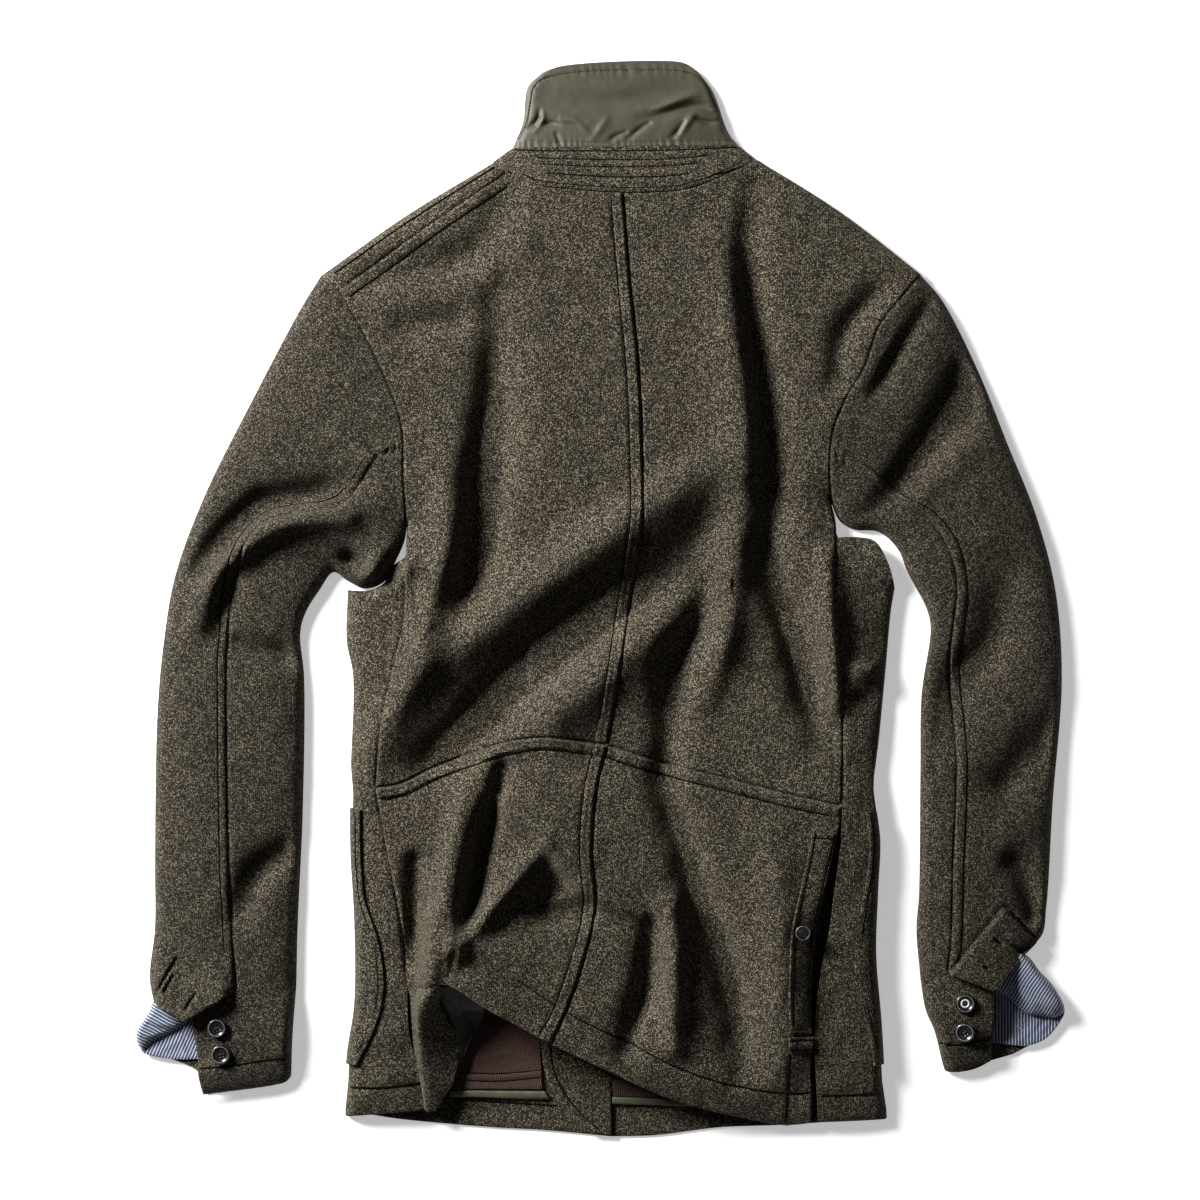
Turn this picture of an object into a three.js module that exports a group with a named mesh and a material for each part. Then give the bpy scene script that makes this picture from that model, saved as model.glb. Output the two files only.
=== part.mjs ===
// A men's felted-knit jacket laid flat, back up: each cut piece is one closed wall.
// Units are mm. +X is the wearer's right, +Y runs to the collar, +Z is up off the surface.
import * as THREE from 'three';

// Driving sizes
const wool = 2.5;            // felted knit cloth
const thin = 1.2;            // nylon, lining and binding
const layerGap = 0.3;        // between two layers that lie on each other
const seamHalf = 0.18;       // half of the gap between two sewn pieces
const foldRise = 2.9;        // middle height of a folded side edge
const flatRise = 5.8;        // top of two cloth layers pressed flat
const domeRise = 6.5;        // air under the back, away from the edges
const domeReach = 34;        // distance over which that air fades out
const sideWrap = 14;         // side panel on the underside
const centreX = 9;           // edge of the left front
const pocketCloth = 2;
const pocketStep = pocketCloth + layerGap;
const pocketDepth = 150;     // pocket width on the underside

// ---------- plan curves: each row is [x, y] ----------
const armLeft = [[-202, 239], [-182, 205], [-164, 166], [-153, 133], [-152, 100], [-150, 58]];
const armRight = [[249, 252], [228, 227], [216, 211], [205, 180], [191, 156], [181, 132], [178, 110], [179, 77]];
const seamBackUpper = [[14, 315], [19, 251], [26, 181], [29, 110], [29, 61], [20, -1], [8, -78], [2, -113]];
const seamBackLower = [[0, -114], [-6, -145], [-10, -195], [-7, -237], [-16, -277], [-28, -312], [-42, -340]];
const seamWaistLeft = [[-174, -146], [-155, -143], [-132, -132], [-93, -117], [-70, -110], [-39, -107], [2, -113]];
const seamWaistRight = [[2, -113], [43, -125], [92, -137], [142, -150], [187, -160]];
const seamSideLeft = [[-150, 58], [-151, 20], [-152, -16], [-161, -56], [-170, -100], [-174, -146]];
const seamSideLeftLow = [[-174, -146], [-164, -199], [-153, -257], [-149, -300]];
const seamSideRight = [[179, 77], [183, 58], [181, 2], [185, -40], [188, -90], [188, -125], [187, -160]];
const neckLine = [[-71, 331], [-50, 321], [-17, 317], [14, 315], [39, 315], [68, 318], [98, 329], [122, 341]];
const shoulderSeamLeft = [[-202, 239], [-140, 284], [-71, 331]];
const shoulderLeft = [[-217, 251], [-152, 297], [-83, 339]];
const shoulderRight = [[122, 341], [187, 300], [249, 252]];
const sideLeft = [[-196, 7], [-197, -32], [-192, -60], [-194, -139], [-194, -195], [-191, -250], [-191, -314],
  [-197, -356], [-198, -402]];
const sideRight = [[229, 8], [226, -10], [222, -55], [217, -107], [214, -138], [219, -185], [217, -225],
  [215, -275], [219, -330], [223, -404]];
const hemLeft = [[-198, -402], [-155, -405], [-81, -411], [-44, -413], [9, -418]];
const hemRight = [[9, -418], [43, -417], [92, -411], [142, -409], [194, -408], [223, -404]];
const backHemLeft = [[-149, -300], [-137, -299], [-123, -295], [-111, -298], [-90, -312], [-64, -327], [-42, -340]];
const backHemRight = [[-42, -340], [8, -364], [57, -387], [105, -401], [142, -409], [164, -407]];
const ventEdge = [[187, -160], [184, -181], [172, -233], [167, -257], [164, -285], [163, -338], [164, -407]];
const sidePanelEdgeRight = [[187, -160], [186, -187], [180, -233], [177, -257], [172, -280], [167, -311],
  [165.5, -342], [167, -373], [169, -406]];
const rollSeamLeft = [[-149, -300], [-147, -338], [-137, -370], [-118, -394]];

const sleeveOuterLeft = [[-217, 251], [-233, 225], [-269, 157], [-307, 81], [-330, 19], [-339, -32], [-344, -88],
  [-346, -203], [-346, -255], [-350, -294], [-347, -313]];
const sleeveSeamLeft = [[-153, 118], [-172, 110], [-187, 88], [-200, 73], [-262, 58], [-281, 22], [-288, -32],
  [-289, -78], [-288, -156], [-286, -233], [-281, -303]];
const sleeveInnerLeft = [[-150, 58], [-152, 45], [-159, 29], [-167, 14], [-182, 8], [-196, 14], [-207, 21],
  [-218, 7], [-229, -11], [-233, -27], [-230, -60], [-231, -165], [-235, -255], [-236, -300]];
const sleeveOuterRight = [[249, 252], [266, 232], [294, 177], [317, 120], [339, 65], [354, 7], [359, -62],
  [352, -157], [347, -239], [343, -262], [327, -274]];
const sleeveSeamRight = [[178, 115], [209, 92], [240, 68], [256, 60], [267, 45], [276, 15], [271, -50],
  [276, -121], [273, -216], [272, -262], [269, -290]];
const sleeveInnerRight = [[179, 77], [186, 61], [197, 54], [217, 52], [232, 38], [239, 21], [254, -8], [257, -23],
  [250, -74], [249, -133], [248, -228], [246, -257], [249, -295]];

// Folds of the cloth: points are [x, y, height]; left and right are the half widths on each side of the path.
const folds = [
  { name: 'shoulder hollow', left: 16, right: 14, path: [[-178, 253, -3], [-108, 270, -4], [-74, 317, -2]] },
  { name: 'blade hollow', left: 12, right: 12, path: [[-155, 212, -3], [-116, 220, -3]] },
  { name: 'left back groove', left: 14, right: 14, path: [[-85, 236, -2], [-87, 154, -6], [-93, 115, -7],
    [-97, 61, -7], [-108, 22, -6], [-128, -9, -3]] },
  { name: 'left back ridge', left: 15, right: 14, path: [[-122, 115, 2], [-124, 30, 6], [-134, -10, 7],
    [-155, -70, 6], [-180, -112, 2]] },
  { name: 'neck crease', left: 9, right: 9, path: [[-47, 274, -2], [0, 232, -2]] },
  { name: 'right groove', left: 15, right: 9, path: [[113, 317, -2], [109, 270, -5], [113, 225, -7],
    [124, 154, -7], [129, 77, -7], [122, 38, -5]] },
  { name: 'right groove branch', left: 10, right: 10, path: [[124, 30, -5], [147, -32, -7], [159, -78, -6],
    [167, -105, -2]] },
  { name: 'right ridge', left: 10, right: 18, path: [[90, 270, 2], [100, 193, 5], [106, 131, 6], [103, 77, 6],
    [98, 30, 4]] },
  { name: 'side ridge', left: 9, right: 9, path: [[170, 35, 3], [173, -20, 6], [176, -78, 4]] },
  { name: 'diagonal hollow', left: 16, right: 18, path: [[89, 81, -3], [39, 21, -7], [0, 3, -9], [-39, -28, -9],
    [-78, -59, -9], [-116, -98, -8], [-155, -140, -3]] },
  { name: 'diagonal upper ridge', left: 18, right: 18, path: [[78, 102, 3], [0, 50, 7], [-78, -5, 6],
    [-132, -47, 4]] },
  { name: 'diagonal lower ridge', left: 22, right: 22, path: [[50, -5, 4], [16, -38, 6], [-40, -86, 7]] },
  { name: 'centre drop', left: 12, right: 14, path: [[80, 11, -4], [70, -16, -7], [54, -47, -7], [49, -109, -6],
    [46, -140, -6], [64, -195, -7], [74, -233, -8], [89, -272, -8], [99, -311, -7], [106, -360, -3]] },
  { name: 'centre drop ridge', left: 12, right: 12, path: [[98, 15, 3], [90, -35, 5], [78, -70, 2]] },
  { name: 'right shoulder hollow', left: 10, right: 10, path: [[209, 239, -3], [184, 208, -4], [178, 170, -2]] },
  { name: 'arch spine', left: 15, right: 9, path: [[-78, -117, 2], [-93, -133, 6], [-106, -164, 10],
    [-113, -195, 14], [-121, -233, 17], [-128, -264, 21], [-134, -292, 25]] },
  { name: 'arch left hollow', left: 8, right: 8, path: [[-148, -200, -4], [-148, -250, -5], [-146, -290, -4]] },
  { name: 'arch right hollow', left: 8, right: 8, path: [[-80, -129, -4], [-97, -195, -8], [-107, -250, -6],
    [-112, -270, 2]] },
  { name: 'lip', left: 8, right: 34, path: [[39, -238, 4], [0, -232, 9], [-22, -214, 12], [-39, -184, 12],
    [-70, -162, 9], [-82, -150, 4]] },
  { name: 'under lip ridge', left: 8, right: 10, path: [[-43, -190, 6], [-70, -222, 12], [-108, -264, 14]] },
  { name: 'under lip hollow', left: 12, right: 12, path: [[-36, -215, -4], [-50, -236, -6], [-20, -240, -4]] },
  { name: 'raised hem', left: 62, right: 9, path: [[-152, -292, 0], [-127, -295, 12], [-111, -298, 26], [-90, -312, 26],
    [-64, -327, 21], [-26, -347, 17], [8, -364, 13], [57, -387, 7], [105, -401, 2], [142, -409, 0]] },
  { name: 'hem corner', left: 16, right: 16, path: [[-150, -350, -3], [-128, -385, -4]] },
  { name: 'low hollow', left: 11, right: 11, path: [[36, -252, -4], [31, -295, -7], [16, -342, -4]] },
  { name: 'low ridge', left: 10, right: 10, path: [[50, -233, 4], [52, -290, 7], [52, -340, 4]] },
  { name: 'vent ridge', left: 18, right: 16, path: [[128, -180, 2], [134, -250, 6], [136, -350, 4]] },
  { name: 'left sleeve fold', left: 10, right: 12, path: [[-192, 94, -2], [-240, 80, -7], [-267, 76, -8],
    [-298, 46, -7], [-314, 26, -3]] },
  { name: 'left sleeve ridge', left: 10, right: 12, path: [[-200, 66, 4], [-250, 60, 7], [-280, 42, 6],
    [-300, 18, 5], [-318, -16, 2]] },
  { name: 'left elbow hollow', left: 8, right: 8, path: [[-290, 22, -5], [-302, -24, -2]] },
  { name: 'left forearm hollow', left: 12, right: 12, path: [[-244, -190, -3], [-271, -210, -6], [-283, -241, -3]] },
  { name: 'left inner hollow', left: 10, right: 10, path: [[-283, -32, -3], [-232, -46, -5]] },
  { name: 'left underarm bulge', left: 14, right: 14, path: [[-160, 30, 6], [-178, 22, 8]] },
  { name: 'left underarm pit', left: 8, right: 8, path: [[-190, 30, -5], [-198, 33, -5]] },
  { name: 'right sleeve fold', left: 18, right: 16, path: [[290, 205, -2], [271, 154, -8], [244, 108, -9],
    [221, 73, -8], [200, 57, -4]] },
  { name: 'right sleeve ridge', left: 14, right: 14, path: [[267, 119, 3], [232, 77, 7], [206, 56, 4]] },
  { name: 'right cap groove', left: 7, right: 7, path: [[250, 232, -2], [221, 185, -4], [208, 163, -2]] },
  { name: 'right elbow hollow', left: 18, right: 18, path: [[310, 22, -3], [298, -32, -6], [279, -55, -6],
    [267, -94, -3]] },
  { name: 'right forearm hollow', left: 16, right: 16, path: [[349, -94, -2], [310, -140, -5]] },
  { name: 'right cuff pit', left: 12, right: 12, path: [[318, -202, -4], [336, -240, -5]] },
  { name: 'right side ridge', left: 8, right: 8, path: [[196, -52, 3], [216, -54, 3]] },
  { name: 'right side hollow', left: 6, right: 6, path: [[196, -74, -2], [214, -74, -2]] },
];

// ---------- plane geometry ----------
const v2 = (p) => new THREE.Vector2(p[0], p[1]);

// Smooth curve through the points, cut into equal lengths.
function sample(points, cells) {
  const curve = new THREE.CatmullRomCurve3(points.map((p) => new THREE.Vector3(p[0], p[1], 0)), false, 'centripetal');
  curve.arcLengthDivisions = 400;
  return curve.getSpacedPoints(cells).map((p) => new THREE.Vector2(p.x, p.y));
}

// Straight runs through the points, cut into equal lengths.
function straight(points, cells) {
  const run = points.map(v2);
  const total = lengthOf(run);
  return Array.from({ length: cells + 1 }, (unused, i) => along(run, (total * i) / cells));
}

// Two runs of points that share their middle point.
const joined = (first, second) => first.concat(second.slice(1));

// Distance from a point to a segment, with the place along it and the side it lies on.
function toSegment(x, y, a, b) {
  const dx = b[0] - a[0];
  const dy = b[1] - a[1];
  const along = THREE.MathUtils.clamp(((x - a[0]) * dx + (y - a[1]) * dy) / (dx * dx + dy * dy), 0, 1);
  const ex = x - a[0] - along * dx;
  const ey = y - a[1] - along * dy;
  return { distance: Math.hypot(ex, ey), along, side: Math.sign(dx * ey - dy * ex) };
}

const level = () => 0;
const flatten = (points) => points.map((p) => (p.isVector2 ? [p.x, p.y] : p));
const restingEdges = [sleeveOuterLeft, sleeveInnerLeft, shoulderLeft, shoulderRight, sleeveOuterRight,
  sleeveInnerRight, sideLeft, sideRight, hemLeft, hemRight].map((c) => flatten(sample(c, 40)));

function edgeDistance(x, y) {
  let best = Infinity;
  for (const edge of restingEdges) {
    for (let i = 1; i < edge.length; i += 1) {
      best = Math.min(best, toSegment(x, y, edge[i - 1], edge[i]).distance);
    }
  }
  return best;
}

const ease = (t) => {
  const s = THREE.MathUtils.clamp(t, 0, 1);
  return s * s * (3 - 2 * s);
};

// One fold's height at a point: a bell across its path, with the height interpolated along it.
function foldHeight(fold, x, y) {
  let best = { distance: Infinity };
  let height = 0;
  for (let i = 1; i < fold.path.length; i += 1) {
    const hit = toSegment(x, y, fold.path[i - 1], fold.path[i]);
    if (hit.distance < best.distance) {
      best = hit;
      height = THREE.MathUtils.lerp(fold.path[i - 1][2], fold.path[i][2], hit.along);
    }
  }
  const width = best.side > 0 ? fold.left : fold.right;
  return height * Math.exp(-((best.distance / width) ** 2));
}

// How far the body is lifted by the patch pockets that lie below it.
const pocketZone = { top: -150, bottom: -374, ramp: 22, left: -214, right: 236 };
function pocketLift(x, y) {
  const { top, bottom, ramp, left, right } = pocketZone;
  const within = Math.min((top + ramp - y) / ramp, (y - bottom + ramp) / ramp, 1);
  return x > left && x < right ? pocketStep * Math.max(within, 0) : 0;
}

// Lower face of what lies on the fronts, and the upper face of all that lies under the back.
const facingGap = 0.8;
const facingLeft = -60;
const facingRamp = 10;
const overFront = (x, y) => wool + pocketLift(x, y) + facingGap;
function frontTop(x, y) {
  const facing = ease((x - facingLeft) / facingRamp) * ease((centreX + 1.6 * facingRamp - x) / facingRamp);
  return wool + pocketLift(x, y) + (wool + facingGap) * facing;
}

// Outer height of the upper layer: it keeps clear of frontTop, with a soft change where it comes near.
const foldFree = 16;         // folds fade out over this distance from a resting edge
const spare = 0.4;
const softLimit = 0.5;
function upper(x, y) {
  const d = edgeDistance(x, y);
  const dome = domeRise * Math.sqrt(1 - (1 - Math.min(d / domeReach, 1)) ** 2);
  let sum = 0;
  for (const fold of folds) {
    sum += foldHeight(fold, x, y);
  }
  const free = ease(d / foldFree);
  const lowest = frontTop(x, y) + layerGap + wool + spare;
  const raw = flatRise + pocketLift(x, y) + dome + sum * free;
  const over = raw - lowest;
  return lowest + (over > 0 ? Math.hypot(over, softLimit) : softLimit / (1 - over)) - softLimit / 2;
}

// ---------- closed walls ----------
// A wall from an outer and an inner grid of points with the same rows and columns.
function wall(outer, inner) {
  const rows = outer.length;
  const cols = outer[0].length;
  const positions = [];
  for (const grid of [outer, inner]) {
    for (const row of grid) {
      for (const p of row) {
        positions.push(p.x, p.y, p.z);
      }
    }
  }
  const index = [];
  const quad = (a, b, c, d) => index.push(a, b, c, a, c, d);
  const out = (i, j) => i * cols + j;
  const inn = (i, j) => rows * cols + i * cols + j;
  for (let i = 0; i + 1 < rows; i += 1) {
    for (let j = 0; j + 1 < cols; j += 1) {
      quad(out(i, j), out(i + 1, j), out(i + 1, j + 1), out(i, j + 1));
      quad(inn(i, j), inn(i, j + 1), inn(i + 1, j + 1), inn(i + 1, j));
    }
  }
  for (let j = 0; j + 1 < cols; j += 1) {
    quad(out(0, j), out(0, j + 1), inn(0, j + 1), inn(0, j));
    quad(out(rows - 1, j + 1), out(rows - 1, j), inn(rows - 1, j), inn(rows - 1, j + 1));
  }
  for (let i = 0; i + 1 < rows; i += 1) {
    quad(out(i + 1, 0), out(i, 0), inn(i, 0), inn(i + 1, 0));
    quad(out(i, cols - 1), out(i + 1, cols - 1), inn(i + 1, cols - 1), inn(i, cols - 1));
  }
  const geometry = new THREE.BufferGeometry();
  geometry.setAttribute('position', new THREE.Float32BufferAttribute(positions, 3));
  geometry.setIndex(index);
  if (signedVolume(positions, index) < 0) {
    for (let i = 0; i < index.length; i += 3) {
      [index[i], index[i + 1]] = [index[i + 1], index[i]];
    }
    geometry.setIndex(index);
  }
  geometry.computeVertexNormals();
  return geometry;
}

function signedVolume(positions, index) {
  const at = (k) => new THREE.Vector3(...positions.slice(3 * k, 3 * k + 3));
  let total = 0;
  for (let i = 0; i < index.length; i += 3) {
    total += at(index[i]).dot(at(index[i + 1]).cross(at(index[i + 2])));
  }
  return total / 6;
}

// Plan grid between four edges: left and right run down, top and bottom run across.
function coons(left, right, top, bottom) {
  const rows = left.length - 1;
  const cols = top.length - 1;
  return left.map((l, i) => top.map((t, j) => {
    const u = j / cols;
    const v = i / rows;
    const p = new THREE.Vector2();
    p.addScaledVector(l, 1 - u).addScaledVector(right[i], u);
    p.addScaledVector(t, 1 - v).addScaledVector(bottom[j], v);
    p.addScaledVector(left[0], -(1 - u) * (1 - v)).addScaledVector(right[0], -u * (1 - v));
    p.addScaledVector(left[rows], -(1 - u) * v).addScaledVector(right[rows], -u * v);
    return p;
  }));
}

// The same grid with the points of its named edges drawn in by half a seam gap.
function inset(grid, edges = 'left right top bottom', amount = seamHalf) {
  const rows = grid.length - 1;
  const cols = grid[0].length - 1;
  const moved = grid.map((row) => row.map((p) => p.clone()));
  const pull = (i, j, k, l) => moved[i][j].add(grid[k][l].clone().sub(grid[i][j]).setLength(amount));
  for (let i = 0; i <= rows; i += 1) {
    if (edges.includes('left')) {
      pull(i, 0, i, 1);
    }
    if (edges.includes('right')) {
      pull(i, cols, i, cols - 1);
    }
  }
  for (let j = 0; j <= cols; j += 1) {
    if (edges.includes('top')) {
      pull(0, j, 1, j);
    }
    if (edges.includes('bottom')) {
      pull(rows, j, rows - 1, j);
    }
  }
  return moved;
}

// Extra drop of a sloping wall's inner face, so that its thickness stays true.
function slopeFactor(height, x, y) {
  const step = 1.5;
  const gx = (height(x + step, y) - height(x - step, y)) / (2 * step);
  const gy = (height(x, y + step) - height(x, y - step)) / (2 * step);
  return Math.min(Math.hypot(1, gx, gy), 2.2);
}

// A sheet over a plan grid: its outer face at height(x, y), its inner face one thickness below.
function sheet(grid, height, thickness) {
  const outer = grid.map((row) => row.map((p) => new THREE.Vector3(p.x, p.y, height(p.x, p.y))));
  const inner = outer.map((row) => row.map((p) => {
    const drop = thickness * slopeFactor(height, p.x, p.y);
    return new THREE.Vector3(p.x, p.y, Math.max(p.z - drop, frontTop(p.x, p.y) + layerGap));
  }));
  return wall(outer, inner);
}

// A flat-lying sheet with its lower face at base(x, y).
function plate(grid, base, thickness) {
  const lower = grid.map((row) => row.map((p) => new THREE.Vector3(p.x, p.y, base(p.x, p.y))));
  const upperFace = lower.map((row) => row.map((p) => new THREE.Vector3(p.x, p.y, p.z + thickness)));
  return wall(upperFace, lower);
}

// Place at a distance along a run of points.
function along(points, distance) {
  let rest = distance;
  for (let i = 1; i < points.length; i += 1) {
    const length = points[i].distanceTo(points[i - 1]);
    if (rest <= length || i === points.length - 1) {
      return points[i - 1].clone().lerp(points[i], rest / length);
    }
    rest -= length;
  }
  return points[0].clone();
}

const lengthOf = (points) => points.slice(1).reduce((sum, p, i) => sum + p.distanceTo(points[i]), 0);

// Section of a wall folded round an edge. The row's points start on the edge and run inward; the wall
// lies on top from point topCount to the edge, turns round it and runs back below through the distances
// in under. A layer over another one turns with a larger rise and keeps clear of the cloth inside it.
const edgeSteps = [[1, 1], [0.42, 0.45], [0.1, 0.14], [0, 0]];
const nearestFold = 5.2;
function foldedRow(row, topCount, under, height, lift, cloth) {
  const outer = [];
  const inner = [];
  const put = (list, distance, z) => {
    const p = along(row, Math.max(distance, 0));
    list.push(new THREE.Vector3(p.x, p.y, z));
  };
  const at = (distance) => {
    const p = along(row, distance);
    return { z: height(p.x, p.y), k: slopeFactor(height, p.x, p.y), base: lift(p.x, p.y) };
  };
  const { base } = at(0);
  const middle = base + cloth.rise;
  const spans = row.map((p, i) => lengthOf(row.slice(0, i + 1)));
  const nearEdge = Math.min(nearestFold + cloth.rise - foldRise, spans[1] * 0.85);
  for (let j = topCount; j >= 1; j -= 1) {
    const here = at(spans[j]);
    put(outer, spans[j], here.z);
    put(inner, spans[j], Math.max(here.z - cloth.thickness * here.k, here.base + cloth.thickness + layerGap));
  }
  const innerReach = nearEdge - cloth.thickness;
  const outTop = at(nearEdge).z;
  for (const [tOut, tIn] of edgeSteps) {
    const curveOut = Math.sqrt(1 - (1 - tOut) ** 2);
    const curveIn = Math.sqrt(1 - (1 - tIn) ** 2);
    put(outer, nearEdge * tOut, middle + (outTop - middle) * curveOut);
    put(inner, cloth.thickness + innerReach * tIn, middle + (outTop - cloth.thickness - middle) * curveIn);
  }
  const bend = cloth.rise - cloth.thickness;
  for (const angle of [Math.PI / 4, Math.PI / 2]) {
    put(outer, cloth.rise * (1 - Math.cos(angle)), base + cloth.rise * (1 - Math.sin(angle)));
    put(inner, cloth.rise - bend * Math.cos(angle), base + cloth.rise - bend * Math.sin(angle));
  }
  for (const distance of under) {
    const place = Math.max(distance, cloth.rise + 0.6);
    const z = at(place).base;
    put(outer, place, z);
    put(inner, place, z + cloth.thickness);
  }
  return { outer, inner };
}

const woolCloth = { rise: foldRise, thickness: wool };

// Rows of a wall folded round one edge; topCount and under(row, i) are as in foldedRow.
function foldedWall(rows, topCount, under, height = upper, lift = pocketLift, cloth = woolCloth) {
  const made = rows.map((row, i) => foldedRow(row, topCount, under(row, i), height, lift, cloth));
  return wall(made.map((m) => m.outer), made.map((m) => m.inner));
}

// A wall folded round both ends of its rows, such as a flattened collar.
function tubeWall(rows, wrap, height, cloth) {
  const made = rows.map((row) => {
    const middle = Math.floor(row.length / 2);
    const first = foldedRow(row.slice(0, middle + 1), middle, [wrap], height, level, cloth);
    const back = row.slice(middle).reverse();
    const second = foldedRow(back, back.length - 1, [wrap], height, level, cloth);
    return {
      outer: first.outer.reverse().concat(second.outer.slice(1)),
      inner: first.inner.reverse().concat(second.inner.slice(1)),
    };
  });
  return wall(made.map((m) => m.outer), made.map((m) => m.inner));
}

// ---------- nodes ----------
const finishes = {
  wool: { color: 0x3f3a2c, roughness: 0.95, metalness: 0 },
  nylon: { color: 0x4a4b36, roughness: 0.6, metalness: 0 },
  lining: { color: 0x6b4638, roughness: 0.9, metalness: 0 },
  binding: { color: 0x8b8d74, roughness: 0.7, metalness: 0 },
  stripe: { color: 0x4b5c80, roughness: 0.8, metalness: 0 },
  horn: { color: 0x1c1d22, roughness: 0.3, metalness: 0 },
  snap: { color: 0x25262a, roughness: 0.4, metalness: 0.8 },
};
const jacket = new THREE.Group();

function add(name, geometry, finish) {
  const mesh = new THREE.Mesh(geometry, new THREE.MeshStandardMaterial(finishes[finish]));
  mesh.name = name;
  jacket.add(mesh);
  return mesh;
}

// ---------- back ----------
const armCells = { upper: 7, lower: 4 };
const armSamplesLeft = sample(armLeft, armCells.upper + armCells.lower);
const armSamplesRight = sample(armRight, armCells.upper + armCells.lower);
const sideCells = 8;
const lowRows = 14;
const backRows = armCells.upper + armCells.lower + sideCells;
const backCols = 14;
const shoulderCells = 7;
const neckCells = 14;
const neck = sample(neckLine, neckCells);
const neckMiddle = neckCells / 2;
const sideSamplesLeft = sample(seamSideLeft, sideCells);
const sideSamplesRight = sample(seamSideRight, sideCells);
const lowSamplesLeft = sample(seamSideLeftLow, lowRows);
const shoulderSamplesLeft = sample(shoulderSeamLeft, shoulderCells);
const shoulderSamplesRight = sample(shoulderRight, shoulderCells);

const centreUpper = sample(seamBackUpper, backRows);
centreUpper[0] = neck[neckMiddle];
const waistLeft = sample(seamWaistLeft, backCols);
const waistRight = sample(seamWaistRight, backCols);
const centreLower = sample(seamBackLower, lowRows);
centreLower[0] = waistRight[0];
const lowRightGrid = inset(coons(centreLower, sample(ventEdge, lowRows), waistRight,
  sample(backHemRight, backCols)));

function buildBack() {
  const leftEdge = joined(armSamplesLeft, sideSamplesLeft);
  const rightEdge = joined(armSamplesRight, sideSamplesRight);
  const topLeft = joined(shoulderSamplesLeft, neck.slice(0, neckMiddle + 1));
  const topRight = joined(neck.slice(neckMiddle), shoulderSamplesRight);
  add('back_upper_left', sheet(inset(coons(leftEdge, centreUpper, topLeft, waistLeft)), upper, wool), 'wool');
  add('back_upper_right', sheet(inset(coons(centreUpper, rightEdge, topRight, waistRight)), upper, wool), 'wool');
  const hem = sample(backHemLeft, backCols);
  add('back_lower_left', sheet(inset(coons(lowSamplesLeft, centreLower, waistLeft, hem)), upper, wool), 'wool');
  add('back_lower_right', sheet(lowRightGrid, upper, wool), 'wool');
}
buildBack();

// ---------- side panels ----------
const rollCells = 5;
const sideTopCells = 4;
const seamRunLeft = joined(joined(sideSamplesLeft.slice(1), lowSamplesLeft), sample(rollSeamLeft, rollCells));
const seamRunRight = joined(sideSamplesRight.slice(1), sample(sidePanelEdgeRight, lowRows + rollCells));

// The side's outline is drawn in where a patch pocket lies over it.
function outlineRun(points, cells, inward) {
  return sample(points, cells).map((p) => new THREE.Vector2(
    p.x + inward * pocketLift(p.x - inward * 0.01, p.y), p.y));
}
const outlineLeft = outlineRun(sideLeft, seamRunLeft.length - 1, 1);
const outlineRight = outlineRun(sideRight, seamRunRight.length - 1, -1);
const armpitLeft = [[-196, 7], [-182, 6.2], [-168, 12], [-160.5, 26], [sideSamplesLeft[1].x, sideSamplesLeft[1].y]];
const armpitRight = [[229, 8], [223, 28], [213, 45], [200, 48], [sideSamplesRight[1].x, sideSamplesRight[1].y]];

function sideGrid(outline, seam, armpit, hem) {
  const top = sample(armpit, sideTopCells);
  const bottom = sample(hem, sideTopCells);
  return inset(coons(outline, seam, top, bottom), 'right top bottom');
}
const sideRowsLeft = sideGrid(outlineLeft, seamRunLeft, armpitLeft, [[-198, -402], [-118, -394]]);
const sideRowsRight = sideGrid(outlineRight, seamRunRight, armpitRight, [[223, -404], [169, -406]]);
add('side_left', foldedWall(sideRowsLeft, sideTopCells, () => [sideWrap]), 'wool');
add('side_right', foldedWall(sideRowsRight, sideTopCells, () => [sideWrap]), 'wool');

// ---------- sleeves ----------
const sleeveRows = 13;
const hiddenSeam = 5;        // cells from the outer edge to the seam on the underside

// arm is the armhole from the shoulder down, and split is the sample where the sleeve's seam starts.
function buildSleeve(side, outline, seamPoints, innerPoints, arm, split, endOuter) {
  const upperTop = arm.slice(0, split + 1);
  const lowerTop = arm.slice(split).reverse();
  const seam = sample([flatten(arm)[split]].concat(seamPoints.slice(1)), sleeveRows);
  const outer = sample(outline, sleeveRows);
  const innerRun = sample(innerPoints, sleeveRows);
  const upperEnd = straight(endOuter, upperTop.length - 1);
  const lowerEnd = sample([innerPoints[innerPoints.length - 1], seamPoints[seamPoints.length - 1]],
    lowerTop.length - 1);
  const upperRows = inset(coons(outer, seam, upperTop, upperEnd), 'right top bottom');
  const lowerRows = inset(coons(innerRun, seam, lowerTop, lowerEnd), 'right top bottom');
  const reach = (row, count) => lengthOf(row.slice(0, count + 1));
  add(`sleeve_upper_${side}`, foldedWall(upperRows, upperTop.length - 1, (row) => {
    const places = [];
    for (let j = 1; j <= hiddenSeam; j += 1) {
      places.push(reach(row, j) - (j === hiddenSeam ? seamHalf : 0));
    }
    return places;
  }), 'wool');
  const wide = lowerRows.map((row, i) => row.concat(upperRows[i].slice(hiddenSeam).reverse()));
  add(`sleeve_under_${side}`, foldedWall(wide, lowerTop.length - 1, (row) => {
    const places = [];
    for (let j = 1; j < row.length; j += 1) {
      places.push(reach(row, j) - (j === row.length - 1 ? seamHalf : 0));
    }
    return places.filter((d, j) => j !== lowerTop.length - 1);
  }), 'wool');
}
buildSleeve('left', sleeveOuterLeft, sleeveSeamLeft, sleeveInnerLeft,
  [v2(sleeveOuterLeft[0])].concat(armSamplesLeft), 8, [[-347, -313], [-320, -326], [-281, -303]]);
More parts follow.
